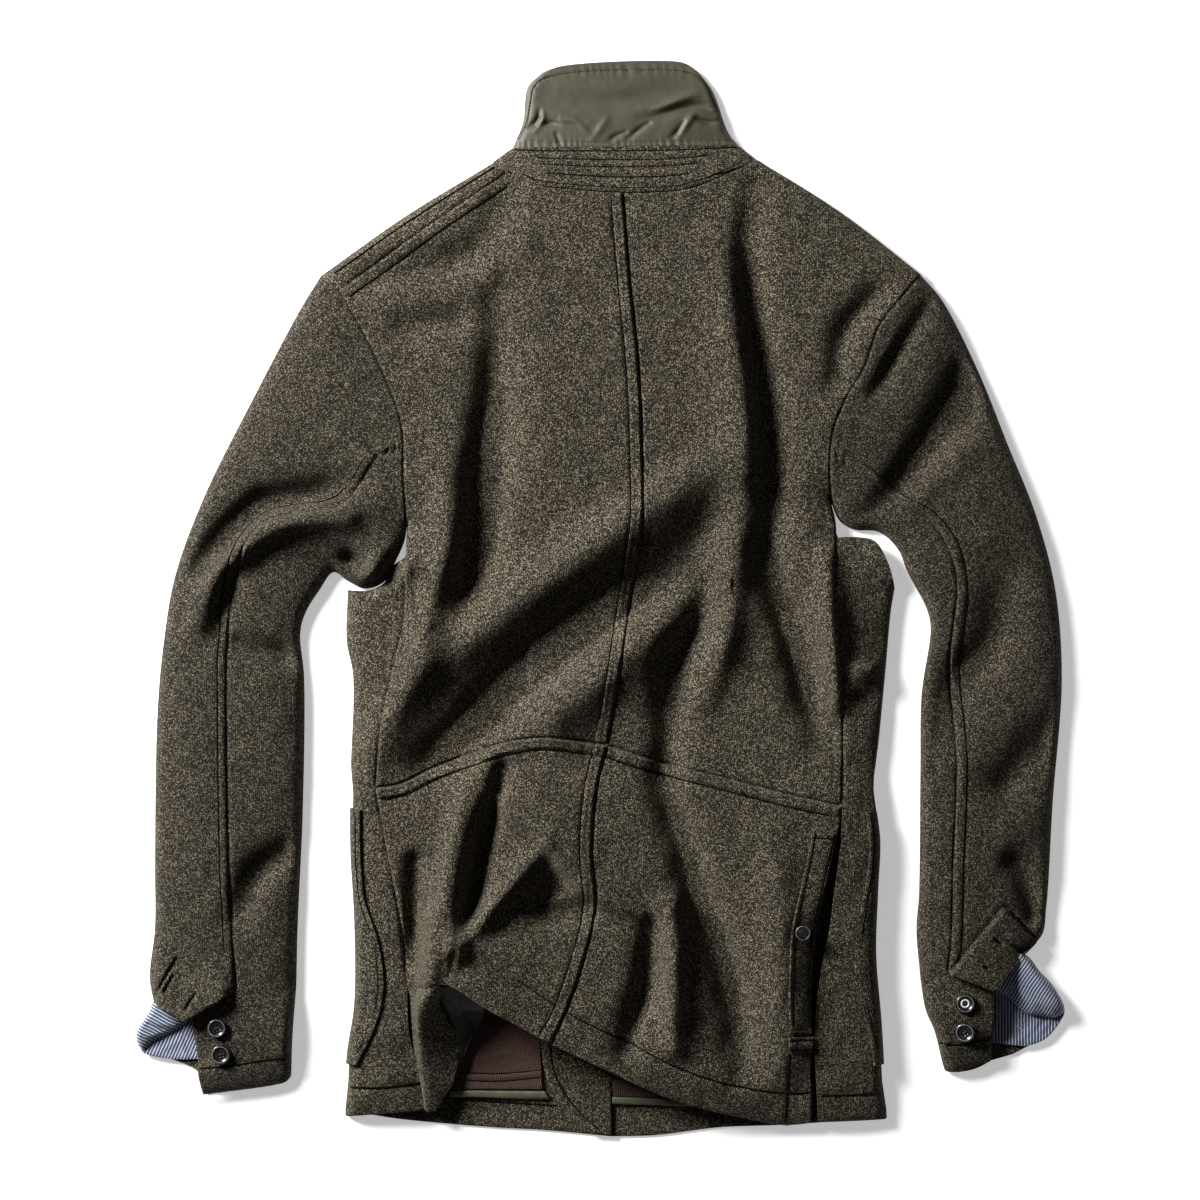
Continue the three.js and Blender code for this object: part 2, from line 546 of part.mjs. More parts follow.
buildSleeve('right', sleeveOuterRight, sleeveSeamRight, sleeveInnerRight, armSamplesRight, 8,
  [[327, -274], [305, -303], [269, -290]]);

// ---------- cuffs ----------
const stripeCloth = { rise: 2.9, thickness: 1.6 };

function buildCuff(side, fold, free, top, bottom, contour, liningEdge, turn) {
  const cells = 4;
  const rows = 6;
  const body = inset(coons(sample(fold, rows), straight(free, rows), straight(top, cells),
    straight(bottom, cells)), 'right top bottom');
  add(`cuff_${side}`, foldedWall(body, cells, (row) => [0.3, 0.6, 0.99].map((f) => f * lengthOf(row))), 'wool');
  const lining = coons(sample(contour, 8), straight(liningEdge, 8),
    sample([contour[0], liningEdge[0]], 3),
    sample([contour[contour.length - 1], liningEdge[liningEdge.length - 1]], 3));
  add(`cuff_lining_${side}`, foldedWall(inset(lining, 'right top bottom'), 3,
    (row) => [0.9 * lengthOf(row)], upper, pocketLift, stripeCloth), 'stripe');
  const [a, b, c, d] = turn;
  add(`cuff_turn_${side}`, plate(coons(sample([a, d], 1), sample([b, c], 1), sample([a, b], 2),
    sample([d, c], 2)), level, wool), 'wool');
}
buildCuff('left', [[-236, -301], [-239, -340], [-240, -371]],
  [[-281, -304.2], [-300, -315.6], [-313, -325], [-312, -346], [-311, -370], [-308, -385]],
  [[-236, -301], [-281, -304.2]], [[-240, -371], [-251, -377], [-308, -385]],
  [[-349.5, -315], [-352, -325], [-358.4, -335], [-360, -342], [-358, -351], [-353, -354], [-335, -357],
    [-316, -357.4]],
  [[-345.5, -314.6], [-320.5, -327.6], [-314.4, -327.8], [-313.4, -340], [-312.8, -356.2]],
  [[-337, -358], [-313, -358.6], [-312, -368], [-324, -364]]);
buildCuff('right', [[249, -296], [253, -319], [260, -336], [268, -367]],
  [[305, -304.2], [305.4, -330], [303, -359]],
  [[249, -296], [269, -291.2], [305, -304.2]], [[268, -367], [277, -367.4], [303, -359]],
  [[331.5, -276.2], [340, -288], [350, -298], [358, -309], [361, -322], [353, -332], [346, -341], [332, -346.2],
    [310, -346.4]],
  [[327.6, -276.4], [306.6, -304], [307, -330], [306.6, -344.6]],
  [[305.6, -347.4], [334, -347.4], [321, -354], [304.4, -359.6]]);

const buttonSize = { radius: 7.5, rim: 6.2, thickness: 3.2, dish: 0.8 };
function buttonShape({ radius, rim, thickness, dish }) {
  const profile = [[0, 0], [radius - 0.8, 0], [radius, thickness - 0.8], [rim, thickness],
    [rim - 1, thickness - dish], [0, thickness - dish]];
  const shape = new THREE.LatheGeometry(profile.map(v2), 14);
  shape.rotateX(Math.PI / 2);
  return shape;
}

// Highest point of the upper layer under a disc.
function restHeight(x, y, radius, below = upper) {
  let top = below(x, y);
  for (let k = 0; k < 12; k += 1) {
    const turn = (k / 12) * 2 * Math.PI;
    top = Math.max(top, below(x + radius * Math.cos(turn), y + radius * Math.sin(turn)));
  }
  return top + layerGap + 0.3;
}

const buttons = [
  { name: 'cuff_button_left_1', x: -296, y: -332 },
  { name: 'cuff_button_left_2', x: -293, y: -352 },
  { name: 'cuff_button_right_1', x: 282, y: -312 },
  { name: 'cuff_button_right_2', x: 281.5, y: -335 },
];
for (const { name, x, y } of buttons) {
  const mesh = add(name, buttonShape(buttonSize), 'horn');
  mesh.position.set(x, y, restHeight(x, y, buttonSize.radius));
}

// ---------- shoulder, collar stand and collar ----------
const shoulderOutline = sample(shoulderLeft, shoulderCells);
const shoulderWrap = 11;
const shoulderRows = coons(shoulderOutline, shoulderSamplesLeft, [shoulderOutline[0], shoulderSamplesLeft[0]],
  [shoulderOutline[shoulderCells], shoulderSamplesLeft[shoulderCells]]);
add('front_shoulder_left', foldedWall(inset(shoulderRows, 'right top bottom'), 1, () => [shoulderWrap]), 'wool');

const collarSide = { left: [[-68, 350], [-60, 370], [-56, 398], [-45, 409]],
  right: [[108, 352], [100, 362], [88, 394], [78, 408]] };
const collarTop = [[-45, 409], [-29, 414], [44, 418], [66, 416], [78, 408]];
const collarWrap = 46;
const nylonCloth = { rise: 2.6, thickness: thin };

// Height of the collar: pressed flat at its sides, with a little air in the middle.
function collarHeight(x, y) {
  const middle = 1 - Math.min(Math.abs(x - 19) / 96, 1) ** 3;
  return 6 + 5 * middle * ease((424 - y) / 70);
}

function buildCollar() {
  const standBottom = [v2([-83.4, 339.6])].concat(neck);
  const cells = standBottom.length - 1;
  const standTop = sample([[-69, 349.2], [19, 350], [108, 350.8]], cells);
  const standLeft = sample([[-69, 349.2], [-83.4, 339.6]], 2);
  const standRight = sample([[108, 350.8], [122, 341]], 2);
  const stand = inset(coons(standLeft, standRight, standTop, standBottom), 'top bottom');
  add('collar_stand', tubeWall(stand, collarWrap, collarHeight, woolCloth), 'wool');
  const leafCells = 8;
  const leaf = inset(coons(sample(collarSide.left, 5).reverse(), sample(collarSide.right, 5).reverse(),
    sample(collarTop, leafCells), straight([[-68, 350], [108, 352]], leafCells)), 'top bottom');
  add('collar', tubeWall(leaf, collarWrap, collarHeight, nylonCloth), 'nylon');
}
buildCollar();

// ---------- fronts ----------
// Every second point of a run, with its first and last ones.
const thinned = (points) => points.filter((p, i) => i % 2 === 0 || i === points.length - 1);

// The edge of a front from the underarm down the side, clear of the side panel's turned part.
function frontSide(rows, outward) {
  const clear = sideWrap + 2;
  const below = 1.6;
  const round = [0.82, 0.55].map((f) => {
    const p = along(rows[0], f * lengthOf(rows[0]));
    return new THREE.Vector2(p.x, p.y - below);
  });
  const down = thinned(rows).map((row) => along(row, clear));
  down[0].y -= below;
  return [new THREE.Vector2(rows[0][sideTopCells].x + outward, rows[0][sideTopCells].y)].concat(round, down);
}

// The fronts meet the collar stand just below the neck seam.
const frontNeck = neck.map((p) => new THREE.Vector2(p.x, p.y - 1.5));
const facingEdge = [[-44, 306], [-46, 200], [-46, 0], [-47, -300], [-43, -367], [-34, -391], [-20, -407],
  [-7, -415.4]];

function buildFronts() {
  const shoulderIn = shoulderRows.map((row) => along(row, shoulderWrap + 0.7));
  const topLeft = [shoulderIn[0], shoulderIn[4], shoulderIn[shoulderCells], frontNeck[1], frontNeck[2], frontNeck[4],
    frontNeck[neckMiddle - 1]];
  const leftEdge = [shoulderIn[0]].concat(armSamplesLeft, frontSide(sideRowsLeft, 1.2));
  const corner = leftEdge[leftEdge.length - 1];
  const inner = frontNeck[neckMiddle - 1];
  const centre = straight([[inner.x, inner.y], [centreX, -300], [centreX, -418]], leftEdge.length - 1);
  const across = topLeft.length - 1;
  const hemL = straight([[corner.x, corner.y], [-81, -411], [-44, -413], [centreX, -418]], across);
  add('front_left', plate(inset(coons(leftEdge, centre, topLeft, hemL)), pocketLift, wool), 'wool');

  const rightEdge = armSamplesRight.concat(frontSide(sideRowsRight, -1.2));
  const cornerRight = rightEdge[rightEdge.length - 1];
  const topRight = [10, 12, 13, 14].map((k) => frontNeck[k]).concat([shoulderSamplesRight[4],
    shoulderSamplesRight[shoulderCells]]);
  topRight.unshift(new THREE.Vector2(inner.x + 0.4, inner.y));
  const middle = straight([[inner.x + 0.4, inner.y], [centreX + 0.4, -300], [centreX + 0.4, -418]],
    rightEdge.length - 1);
  const hemR = straight([[centreX + 0.4, -418], [43, -417], [92, -411], [142, -409],
    [cornerRight.x, cornerRight.y]], topRight.length - 1);
  add('front_right', plate(inset(coons(middle, rightEdge, topRight, hemR)), pocketLift, wool), 'wool');

  const rows = 16;
  const facing = coons(sample(facingEdge, rows), straight([[centreX - 8, 306], [centreX, -300],
    [centreX, -416.6]], rows), straight([[-44, 306], [centreX - 8, 306]], 3),
    straight([[-7, -415.4], [centreX, -416.6]], 3));
  add('front_facing', plate(facing, overFront, wool), 'wool');
}
buildFronts();

// ---------- patch pockets, folded round the sides ----------
const pocketFlap = [
  { y: -162, left: 9, right: 9 },
  { y: -210, left: 9, right: 10 },
  { y: -233, left: 10, right: 13 },
  { y: -264, left: 19, right: 17 },
  { y: -299, left: 23, right: 18 },
  { y: -339, left: 17, right: 11 },
  { y: -361, left: 9, right: 9 },
];
function flapWidth(y, side) {
  for (let i = 1; i < pocketFlap.length; i += 1) {
    if (y >= pocketFlap[i].y) {
      const share = (pocketFlap[i - 1].y - y) / (pocketFlap[i - 1].y - pocketFlap[i].y);
      return THREE.MathUtils.lerp(pocketFlap[i - 1][side], pocketFlap[i][side], share);
    }
  }
  return pocketFlap.at(-1)[side];
}

const pocketClear = 1.2;      // between the side panel and the pocket over it
const overPocket = (x, y) => upper(x, y) + pocketClear + pocketCloth;
function buildPocket(side, rows, inward) {
  const covered = rows.filter((row) => row[0].y < pocketFlap[0].y && row[0].y > pocketFlap.at(-1).y);
  const made = covered.map((row) => {
    const start = row[0].clone();
    const away = row[1].clone().sub(start).setLength(pocketStep);
    start.sub(away);
    const width = flapWidth(start.y, side);
    const end = along([start].concat(row.slice(1)), width);
    return [start, end, new THREE.Vector2(start.x + inward * (pocketDepth + 20), end.y)];
  });
  const cloth = { rise: foldRise + pocketStep, thickness: pocketCloth };
  add(`pocket_${side}`, foldedWall(made, 1, () => [60, pocketDepth - 4], overPocket, level, cloth), 'wool');
}
buildPocket('left', sideRowsLeft, 1);
buildPocket('right', sideRowsRight, -1);

// ---------- vent at the right side ----------
const stripRows = { first: 1, last: 10 };
const stripCloth = 1.8;

// A strip over cells of a panel: the panel's own points, moved out.
function overPanel(points, lift, thickness) {
  const raised = (by) => points.map((row) => row.map((p) => new THREE.Vector3(p.x, p.y, p.z + by)));
  return wall(raised(lift + thickness), raised(lift));
}
const stripInset = 0.45;     // of the panel's cell where the strip's left edge lies
const ventPoints = lowRightGrid.map((row) => {
  const solid = row.slice(backCols - 2).map((p) => new THREE.Vector3(p.x, p.y, upper(p.x, p.y)));
  solid[0].lerp(solid[1], stripInset);
  return solid;
});
add('vent_placket', overPanel(ventPoints.slice(stripRows.first, stripRows.last + 1), layerGap + 0.1, stripCloth),
  'wool');
const [tabTop, tabBase] = ventPoints.slice(stripRows.last, stripRows.last + 2);
const tabPoints = [0.06, 0.66].map((f) => tabTop.map((p, j) => p.clone().lerp(tabBase[j], f)));
add('vent_tab', overPanel(tabPoints, layerGap + 0.3, stripCloth), 'wool');

const underlap = { top: -192, bottom: -378, left: 153, right: 176, thickness: 2 };
const underlapGrid = coons(straight([[underlap.left + 8, underlap.top], [underlap.left, underlap.bottom]], 5),
  straight([[underlap.right + 4, underlap.top], [underlap.right, underlap.bottom]], 5),
  straight([[underlap.left + 8, underlap.top], [underlap.right + 4, underlap.top]], 2),
  straight([[underlap.left, underlap.bottom], [underlap.right, underlap.bottom]], 2));
add('vent_underlap', plate(underlapGrid, overFront, underlap.thickness), 'wool');

const snap = { x: 156, y: -257, radius: 5.8, height: 2.2, socketX: 168.5, socketRadius: 2.2, socketHeight: 1.2 };
function snapShape(radius, height) {
  const profile = [[0, 0], [radius, 0], [radius, height * 0.45], [radius * 0.75, height * 0.85], [0, height]];
  const shape = new THREE.LatheGeometry(profile.map(v2), 12);
  shape.rotateX(Math.PI / 2);
  return shape;
}
const cap = add('snap_cap', snapShape(snap.radius, snap.height), 'snap');
cap.position.set(snap.x, snap.y, restHeight(snap.x, snap.y, snap.radius) + layerGap + stripCloth);
const socket = add('snap_socket', snapShape(snap.socketRadius, snap.socketHeight), 'snap');
socket.position.set(snap.socketX, snap.y, overFront(snap.socketX, snap.y) + underlap.thickness + layerGap);

// ---------- raised hem, facing, lining and binding ----------
const rollOverPanel = -340;   // below this y the turned hem lies over the side panel
const rollClear = 1.2;
const rollSections = [
  { y: -301.8, foot: -147.8, crest: -137, crestZ: 40, inner: -126, innerZ: 31 },
  { y: -319, foot: -147, crest: -139.5, crestZ: 36, inner: -114, innerZ: 21 },
  { y: -338, foot: -145.8, crest: -139, crestZ: 29, inner: -108, innerZ: 15 },
  { y: -362, foot: -141.5, crest: -136.5, crestZ: 22, inner: -110, innerZ: 14 },
  { y: -393, foot: -135, crest: -131, crestZ: 17, inner: -119, innerZ: 14.5 },
];

// Section of the turned hem: up from the side seam, over the crest and down to the turn-up's edge.
function rollSection({ y, foot, crest, crestZ, inner, innerZ }) {
  const footZ = upper(foot, y) + (y < rollOverPanel ? wool + rollClear : 0);
  const stations = [[foot, footZ], [foot + 0.35 * (crest - foot), footZ + 0.5 * (crestZ - footZ)],
    [crest - 2.6, crestZ - 3], [crest, crestZ], [crest + 3.6, crestZ - 1.6],
    [(crest + inner) / 2 + 2, (crestZ + innerZ) / 2], [inner, innerZ]].map(v2);
  const outer = stations.map((p) => new THREE.Vector3(p.x, y, p.y));
  const under = stations.map((p, i) => {
    const before = stations[Math.max(i - 1, 0)];
    const after = stations[Math.min(i + 1, stations.length - 1)];
    const run = after.clone().sub(before).normalize();
    return new THREE.Vector3(p.x + run.y * wool, y, p.y - run.x * wool);
  });
  return { outer, under };
}
const rollMade = rollSections.map(rollSection);
add('back_hem_roll', wall(rollMade.map((m) => m.outer), rollMade.map((m) => m.under)), 'wool');

const facingSections = [
  { y: -304, from: [-123.4, 28], to: [-98, 28] },
  { y: -319, from: [-112.6, 19.6], to: [-93, 24] },
  { y: -338, from: [-106.6, 13.6], to: [-99, 14] },
  { y: -358, from: [-107.6, 12], to: [-104, 11] },
];
const facingRow = ({ y, from, to }, drop) => [0, 0.33, 0.66, 1].map((f) => new THREE.Vector3(
  THREE.MathUtils.lerp(from[0], to[0], f), y,
  THREE.MathUtils.lerp(from[1], to[1], f) - 2 * Math.sin(Math.PI * f) - drop));
add('hem_facing', wall(facingSections.map((r) => facingRow(r, 0)), facingSections.map((r) => facingRow(r, thin))),
  'nylon');

function block(corners, cells, rows) {
  const [a, b, c, d] = corners;
  return coons(straight([a, d], rows), straight([b, c], rows), straight([a, b], cells), straight([d, c], cells));
}
const insidePieces = [
  { name: 'lining_left', finish: 'lining', cells: 5, rows: 5,
    corners: [[-127, -306], [-48.6, -306], [-45.4, -380.6], [-117, -380.6]] },
  { name: 'lining_right', finish: 'lining', cells: 5, rows: 5,
    corners: [[centreX + 0.4, -316], [92, -316], [92, -388.6], [centreX + 0.4, -386]] },
  { name: 'hem_binding_left', finish: 'binding', cells: 5, rows: 1,
    corners: [[-117, -381], [-43, -381], [-38.6, -388.6], [-117, -386.6]] },
  { name: 'hem_binding_right', finish: 'binding', cells: 5, rows: 1,
    corners: [[centreX + 0.4, -386.4], [78, -389], [78, -394], [centreX + 0.4, -392]] },
];
for (const { name, finish, cells, rows, corners } of insidePieces) {
  add(name, plate(block(corners, cells, rows), overFront, thin), finish);
}

export default jacket;
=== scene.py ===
import bpy
import numpy as np
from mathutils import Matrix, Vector


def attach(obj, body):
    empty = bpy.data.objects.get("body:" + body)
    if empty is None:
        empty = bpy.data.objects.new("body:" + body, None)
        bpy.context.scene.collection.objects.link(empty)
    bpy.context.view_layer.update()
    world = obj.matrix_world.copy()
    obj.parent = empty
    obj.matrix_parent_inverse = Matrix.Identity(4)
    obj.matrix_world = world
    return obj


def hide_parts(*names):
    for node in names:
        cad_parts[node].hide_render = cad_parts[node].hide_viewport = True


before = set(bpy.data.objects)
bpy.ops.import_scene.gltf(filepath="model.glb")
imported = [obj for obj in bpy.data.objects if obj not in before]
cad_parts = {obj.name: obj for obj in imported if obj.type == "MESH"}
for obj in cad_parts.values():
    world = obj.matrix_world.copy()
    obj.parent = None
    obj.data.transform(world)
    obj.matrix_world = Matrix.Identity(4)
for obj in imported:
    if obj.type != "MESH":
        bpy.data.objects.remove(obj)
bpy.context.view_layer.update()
print("frame loaded")

# All plan sizes below are in mm: +X is the wearer's right, +Y runs to the collar, +Z is up off the floor.
mm = 0.001

# camera, light and floor
studio = {
    "cameraHeight": 2.594, "cameraY": -0.0008, "lens": 100.0,
    "keyPlace": (-2.0, 1.33, 1.27), "keySize": 0.85, "keyPower": 236.0,
    "fillPlace": (1.5, -1.1, 2.0), "fillSize": 2.2, "fillPower": 1.3,
    "skyColour": (0.93, 0.95, 1.0, 1.0), "skyStrength": 0.06,
    "floorColour": (0.87, 0.87, 0.865, 1.0), "floorGlow": 0.42,
}


def makeCamera():
    camera = bpy.data.objects.new("camera", bpy.data.cameras.new("camera"))
    camera.data.lens = studio["lens"]
    camera.data.sensor_width = 36.0
    camera.location = (0.0, studio["cameraY"], studio["cameraHeight"])
    bpy.context.scene.collection.objects.link(camera)
    bpy.context.scene.camera = camera


def makeLight(name, place, size, power):
    # a square soft box at its place, turned to face the middle of the jacket
    light = bpy.data.objects.new(name, bpy.data.lights.new(name, "AREA"))
    light.data.size = size
    light.data.energy = power
    light.location = place
    bpy.context.scene.collection.objects.link(light)
    light.rotation_euler = Vector(place).to_track_quat("Z", "Y").to_euler()


def makeFloor():
    # a flat square of 8 m at z = 0 with a plain pale finish
    corners = np.array([[-4, -4, 0], [4, -4, 0], [4, 4, 0], [-4, 4, 0]], dtype=float)
    mesh = bpy.data.meshes.new("floor")
    mesh.from_pydata(corners.tolist(), [], [(0, 1, 2, 3)])
    floor = bpy.data.objects.new("floor", mesh)
    bpy.context.scene.collection.objects.link(floor)
    material = bpy.data.materials.new("floor paper")
    material.use_nodes = True
    shader = material.node_tree.nodes["Principled BSDF"]
    shader.inputs["Base Color"].default_value = studio["floorColour"]
    shader.inputs["Roughness"].default_value = 0.9
    # lit faintly from below, as on a light table
    shader.inputs["Emission Color"].default_value = (1.0, 1.0, 1.0, 1.0)
    shader.inputs["Emission Strength"].default_value = studio["floorGlow"]
    mesh.materials.append(material)


makeCamera()
makeLight("key light", studio["keyPlace"], studio["keySize"], studio["keyPower"])
makeLight("fill light", studio["fillPlace"], studio["fillSize"], studio["fillPower"])
makeFloor()
sky = bpy.data.worlds.new("studio sky")
sky.use_nodes = True
sky.node_tree.nodes["Background"].inputs["Color"].default_value = studio["skyColour"]
sky.node_tree.nodes["Background"].inputs["Strength"].default_value = studio["skyStrength"]
bpy.context.scene.world = sky
bpy.context.scene.view_settings.view_transform = "Standard"
print("camera, lights and floor")

# the cut of the jacket: plan curves, each row [x, y]
armLeft = [[-202, 239], [-182, 205], [-164, 166], [-153, 133], [-152, 100], [-150, 58]]
armRight = [[249, 252], [228, 227], [216, 211], [205, 180], [191, 156], [181, 132], [178, 110], [179, 77]]
backSeamUpper = [[18, 315], [23, 251], [30, 181], [33, 110], [33, 61], [24, -1], [12, -78], [6, -113]]
backSeamLower = [[6, -113], [-2, -145], [-6, -195], [-3, -237], [-12, -277], [-24, -312], [-38, -342]]
waistLeft = [[-174, -146], [-155, -143], [-132, -132], [-93, -117], [-70, -110], [-39, -107], [6, -113]]
waistRight = [[6, -113], [43, -125], [92, -137], [142, -150], [187, -160]]
sideSeamLeft = [[-150, 58], [-151, 20], [-152, -16], [-161, -56], [-170, -100], [-174, -146]]
sideSeamLeftLow = [[-174, -146], [-164, -199], [-153, -257], [-149, -300]]
sideSeamRight = [[179, 77], [183, 58], [181, 2], [185, -40], [188, -90], [188, -125], [187, -160]]
neckLine = [[-71, 331], [-50, 321], [-17, 317], [14, 315], [39, 315], [68, 318], [98, 329], [122, 341]]
shoulderSeamLeft = [[-202, 239], [-140, 284], [-71, 331]]
shoulderLeft = [[-217, 251], [-152, 297], [-83, 339]]
shoulderRight = [[122, 341], [187, 300], [249, 252]]
sideLeft = [[-196, 7], [-197, -32], [-192, -60], [-194, -139], [-194, -195], [-191, -250], [-191, -314],
            [-197, -356], [-198, -402]]
sideRight = [[229, 8], [226, -10], [222, -55], [217, -107], [214, -138], [219, -185], [217, -225],
             [215, -275], [219, -330], [223, -404]]
hemLeft = [[-198, -402], [-155, -405], [-81, -411], [-44, -413], [9, -418]]
hemRight = [[9, -418], [43, -417], [92, -411], [142, -409], [194, -408], [223, -404]]
backHemLeft = [[-149, -300], [-137, -299], [-123, -295], [-111, -298], [-90, -312], [-64, -327], [-38, -342]]
backHemRight = [[-38, -342], [8, -364], [57, -387], [105, -401], [142, -409], [164, -407]]
ventEdge = [[187, -160], [184, -181], [172, -233], [167, -257], [164, -285], [163, -338], [164, -407]]
panelEdgeRight = [[187, -160], [186, -187], [180, -233], [177, -257], [172, -280], [167, -311],
                  [165.5, -342], [167, -373], [169, -406]]
panelEdgeLeft = [[-149, -300], [-147, -338], [-137, -370], [-118, -394]]
sleeveOuterLeft = [[-217, 251], [-233, 225], [-269, 157], [-307, 81], [-330, 19], [-339, -32], [-344, -88],
                   [-346, -203], [-346, -255], [-350, -294], [-347, -313]]
sleeveSeamLeft = [[-153, 118], [-172, 110], [-187, 88], [-200, 73], [-262, 58], [-281, 22], [-288, -32],
                  [-289, -78], [-288, -156], [-286, -233], [-281, -303]]
sleeveInnerLeft = [[-150, 58], [-152, 45], [-159, 29], [-167, 14], [-182, 8], [-196, 14], [-207, 21],
                   [-218, 7], [-229, -11], [-233, -27], [-230, -60], [-231, -165], [-235, -255], [-236, -300]]
sleeveOuterRight = [[249, 252], [266, 232], [294, 177], [317, 120], [339, 65], [354, 7], [359, -62],
                    [352, -157], [347, -239], [343, -262], [327, -274]]
sleeveSeamRight = [[178, 115], [209, 92], [240, 68], [256, 60], [267, 45], [276, 15], [271, -50],
                   [276, -121], [273, -216], [272, -262], [269, -290]]
sleeveInnerRight = [[179, 77], [186, 61], [197, 54], [217, 52], [232, 38], [239, 21], [254, -8], [257, -23],
                    [250, -74], [249, -133], [248, -228], [246, -257], [249, -295]]


def sharesOf(shares):
    # shares from 0 to 1 as they are given, or that many even ones
    return np.linspace(0, 1, shares) if np.ndim(shares) == 0 else np.asarray(shares)


def smoothRun(points, shares=160):
    # centripetal Catmull-Rom curve through the points, read at the given shares of its length
    p = np.asarray(points, dtype=float)
    ends = np.vstack([2 * p[0] - p[1], p, 2 * p[-1] - p[-2]])
    t = np.linspace(0, 1, 25)[:-1][None, :, None]
    p0, p1, p2, p3 = (ends[k:len(ends) - 3 + k][:, None, :] for k in range(4))
    step = lambda a, b: np.maximum(np.linalg.norm(b - a, axis=-1, keepdims=True) ** 0.5, 1e-4)
    d0, d1, d2 = step(p0, p1), step(p1, p2), step(p2, p3)
    m1 = ((p1 - p0) / d0 - (p2 - p0) / (d0 + d1) + (p2 - p1) / d1) * d1
    m2 = ((p2 - p1) / d1 - (p3 - p1) / (d1 + d2) + (p3 - p2) / d2) * d1
    run = p1 + m1 * t + (-3 * p1 + 3 * p2 - 2 * m1 - m2) * t ** 2 + (2 * p1 - 2 * p2 + m1 + m2) * t ** 3
    return straightRun(np.vstack([run.reshape(-1, p.shape[1]), p[-1:]]), shares)


def straightRun(points, shares=160):
    # straight stretches through the points, read at the given shares of the whole length
    p = np.asarray(points, dtype=float)
    reach = np.concatenate([[0], np.cumsum(np.linalg.norm(np.diff(p, axis=0), axis=1))])
    want = sharesOf(shares) * reach[-1]
    return np.stack([np.interp(want, reach, p[:, k]) for k in range(p.shape[1])], axis=1)


def runLength(run):
    # the sum of the distances between neighbouring points
    return np.linalg.norm(np.diff(run, axis=0), axis=1).sum()


def joinedRun(*runs):
    # several smooth curves end to end, as one run
    return straightRun(np.vstack([smoothRun(run, 90) for run in runs]))


def spacing(length, step, fineStart=True, fineEnd=True, fine=0.6, growth=1.1):
    # shares from 0 to 1 along a length: steps of about step mm, growing from fine mm at a fine end
    steps = []
    size, total = fine, 0.0
    while size < step and total < length * 0.42:
        steps.append(size)
        total += size
        size *= growth
    ramp = np.array(steps)
    head = ramp if fineStart else np.empty(0)
    tail = ramp[::-1] if fineEnd else np.empty(0)
    middle = max(length - head.sum() - tail.sum(), step)
    count = max(int(round(middle / step)), 1)
    cells = np.concatenate([head, np.full(count, middle / count), tail])
    return np.concatenate([[0], np.cumsum(cells)]) / cells.sum()


def coonsGrid(left, right, top, bottom, u, v):
    # plan grid between four runs: left and right are read at v, top and bottom at u (a Coons patch)
    U, V = u[None, :, None], v[:, None, None]
    across = left[:, None, :] * (1 - U) + right[:, None, :] * U
    down = top[None, :, :] * (1 - V) + bottom[None, :, :] * V
    corners = (left[0] * (1 - U) + right[0] * U) * (1 - V) + (left[-1] * (1 - U) + right[-1] * U) * V
    return across + down - corners


def nearestOn(x, y, run):
    # for each point: its distance from a run of segments, its side (+1 left of the run), its place along it
    # in mm and the run's own third value there
    best = np.full(np.shape(x), np.inf)
    side, place, value = np.ones(best.shape), np.zeros(best.shape), np.zeros(best.shape)
    start = 0.0
    for a, b in zip(run[:-1], run[1:]):
        dx, dy = b[0] - a[0], b[1] - a[1]
        long = max(np.hypot(dx, dy), 1e-6)
        t = np.clip(((x - a[0]) * dx + (y - a[1]) * dy) / long ** 2, 0, 1)
        ex, ey = x - a[0] - t * dx, y - a[1] - t * dy
        d = np.hypot(ex, ey)
        closer = d < best
        best = np.where(closer, d, best)
        side = np.where(closer, np.where(dx * ey - dy * ex >= 0, 1.0, -1.0), side)
        place = np.where(closer, start + t * long, place)
        if len(a) > 2:
            value = np.where(closer, a[2] + (b[2] - a[2]) * t, value)
        start += long
    return best, side, place, value


def nearRun(x, y, run, reach):
    # which points lie within reach mm of the run's own box
    return ((x > run[:, 0].min() - reach) & (x < run[:, 0].max() + reach)
            & (y > run[:, 1].min() - reach) & (y < run[:, 1].max() + reach))


def bell(d, width):
    # exp(-(d/width)^2)
    return np.exp(-(d / width) ** 2)


def unit(v):
    # vectors brought to length 1 along the last axis
    return v / np.maximum(np.linalg.norm(v, axis=-1, keepdims=True), 1e-9)


def ease(t):
    # 3t^2 - 2t^3 between 0 and 1
    s = np.clip(t, 0, 1)
    return s * s * (3 - 2 * s)


# how the cloth lies: folds as [x, y, height] along a path, with a half width on each side
cloth = {
    "wool": 2.5, "thin": 1.2, "gap": 0.3, "foldRise": 2.9, "flatRise": 5.8, "domeRise": 12.0, "domeReach": 44.0,
    "foldFree": 15.0, "foldGain": 2.1, "tallFold": 10.5, "fieldStep": 1.25, "pocketStep": 2.3,
    "foldShift": (5.0, -3.0, 0.0), "edgeReach": 36, "farthest": 60.0, "blend": 0.5,
}
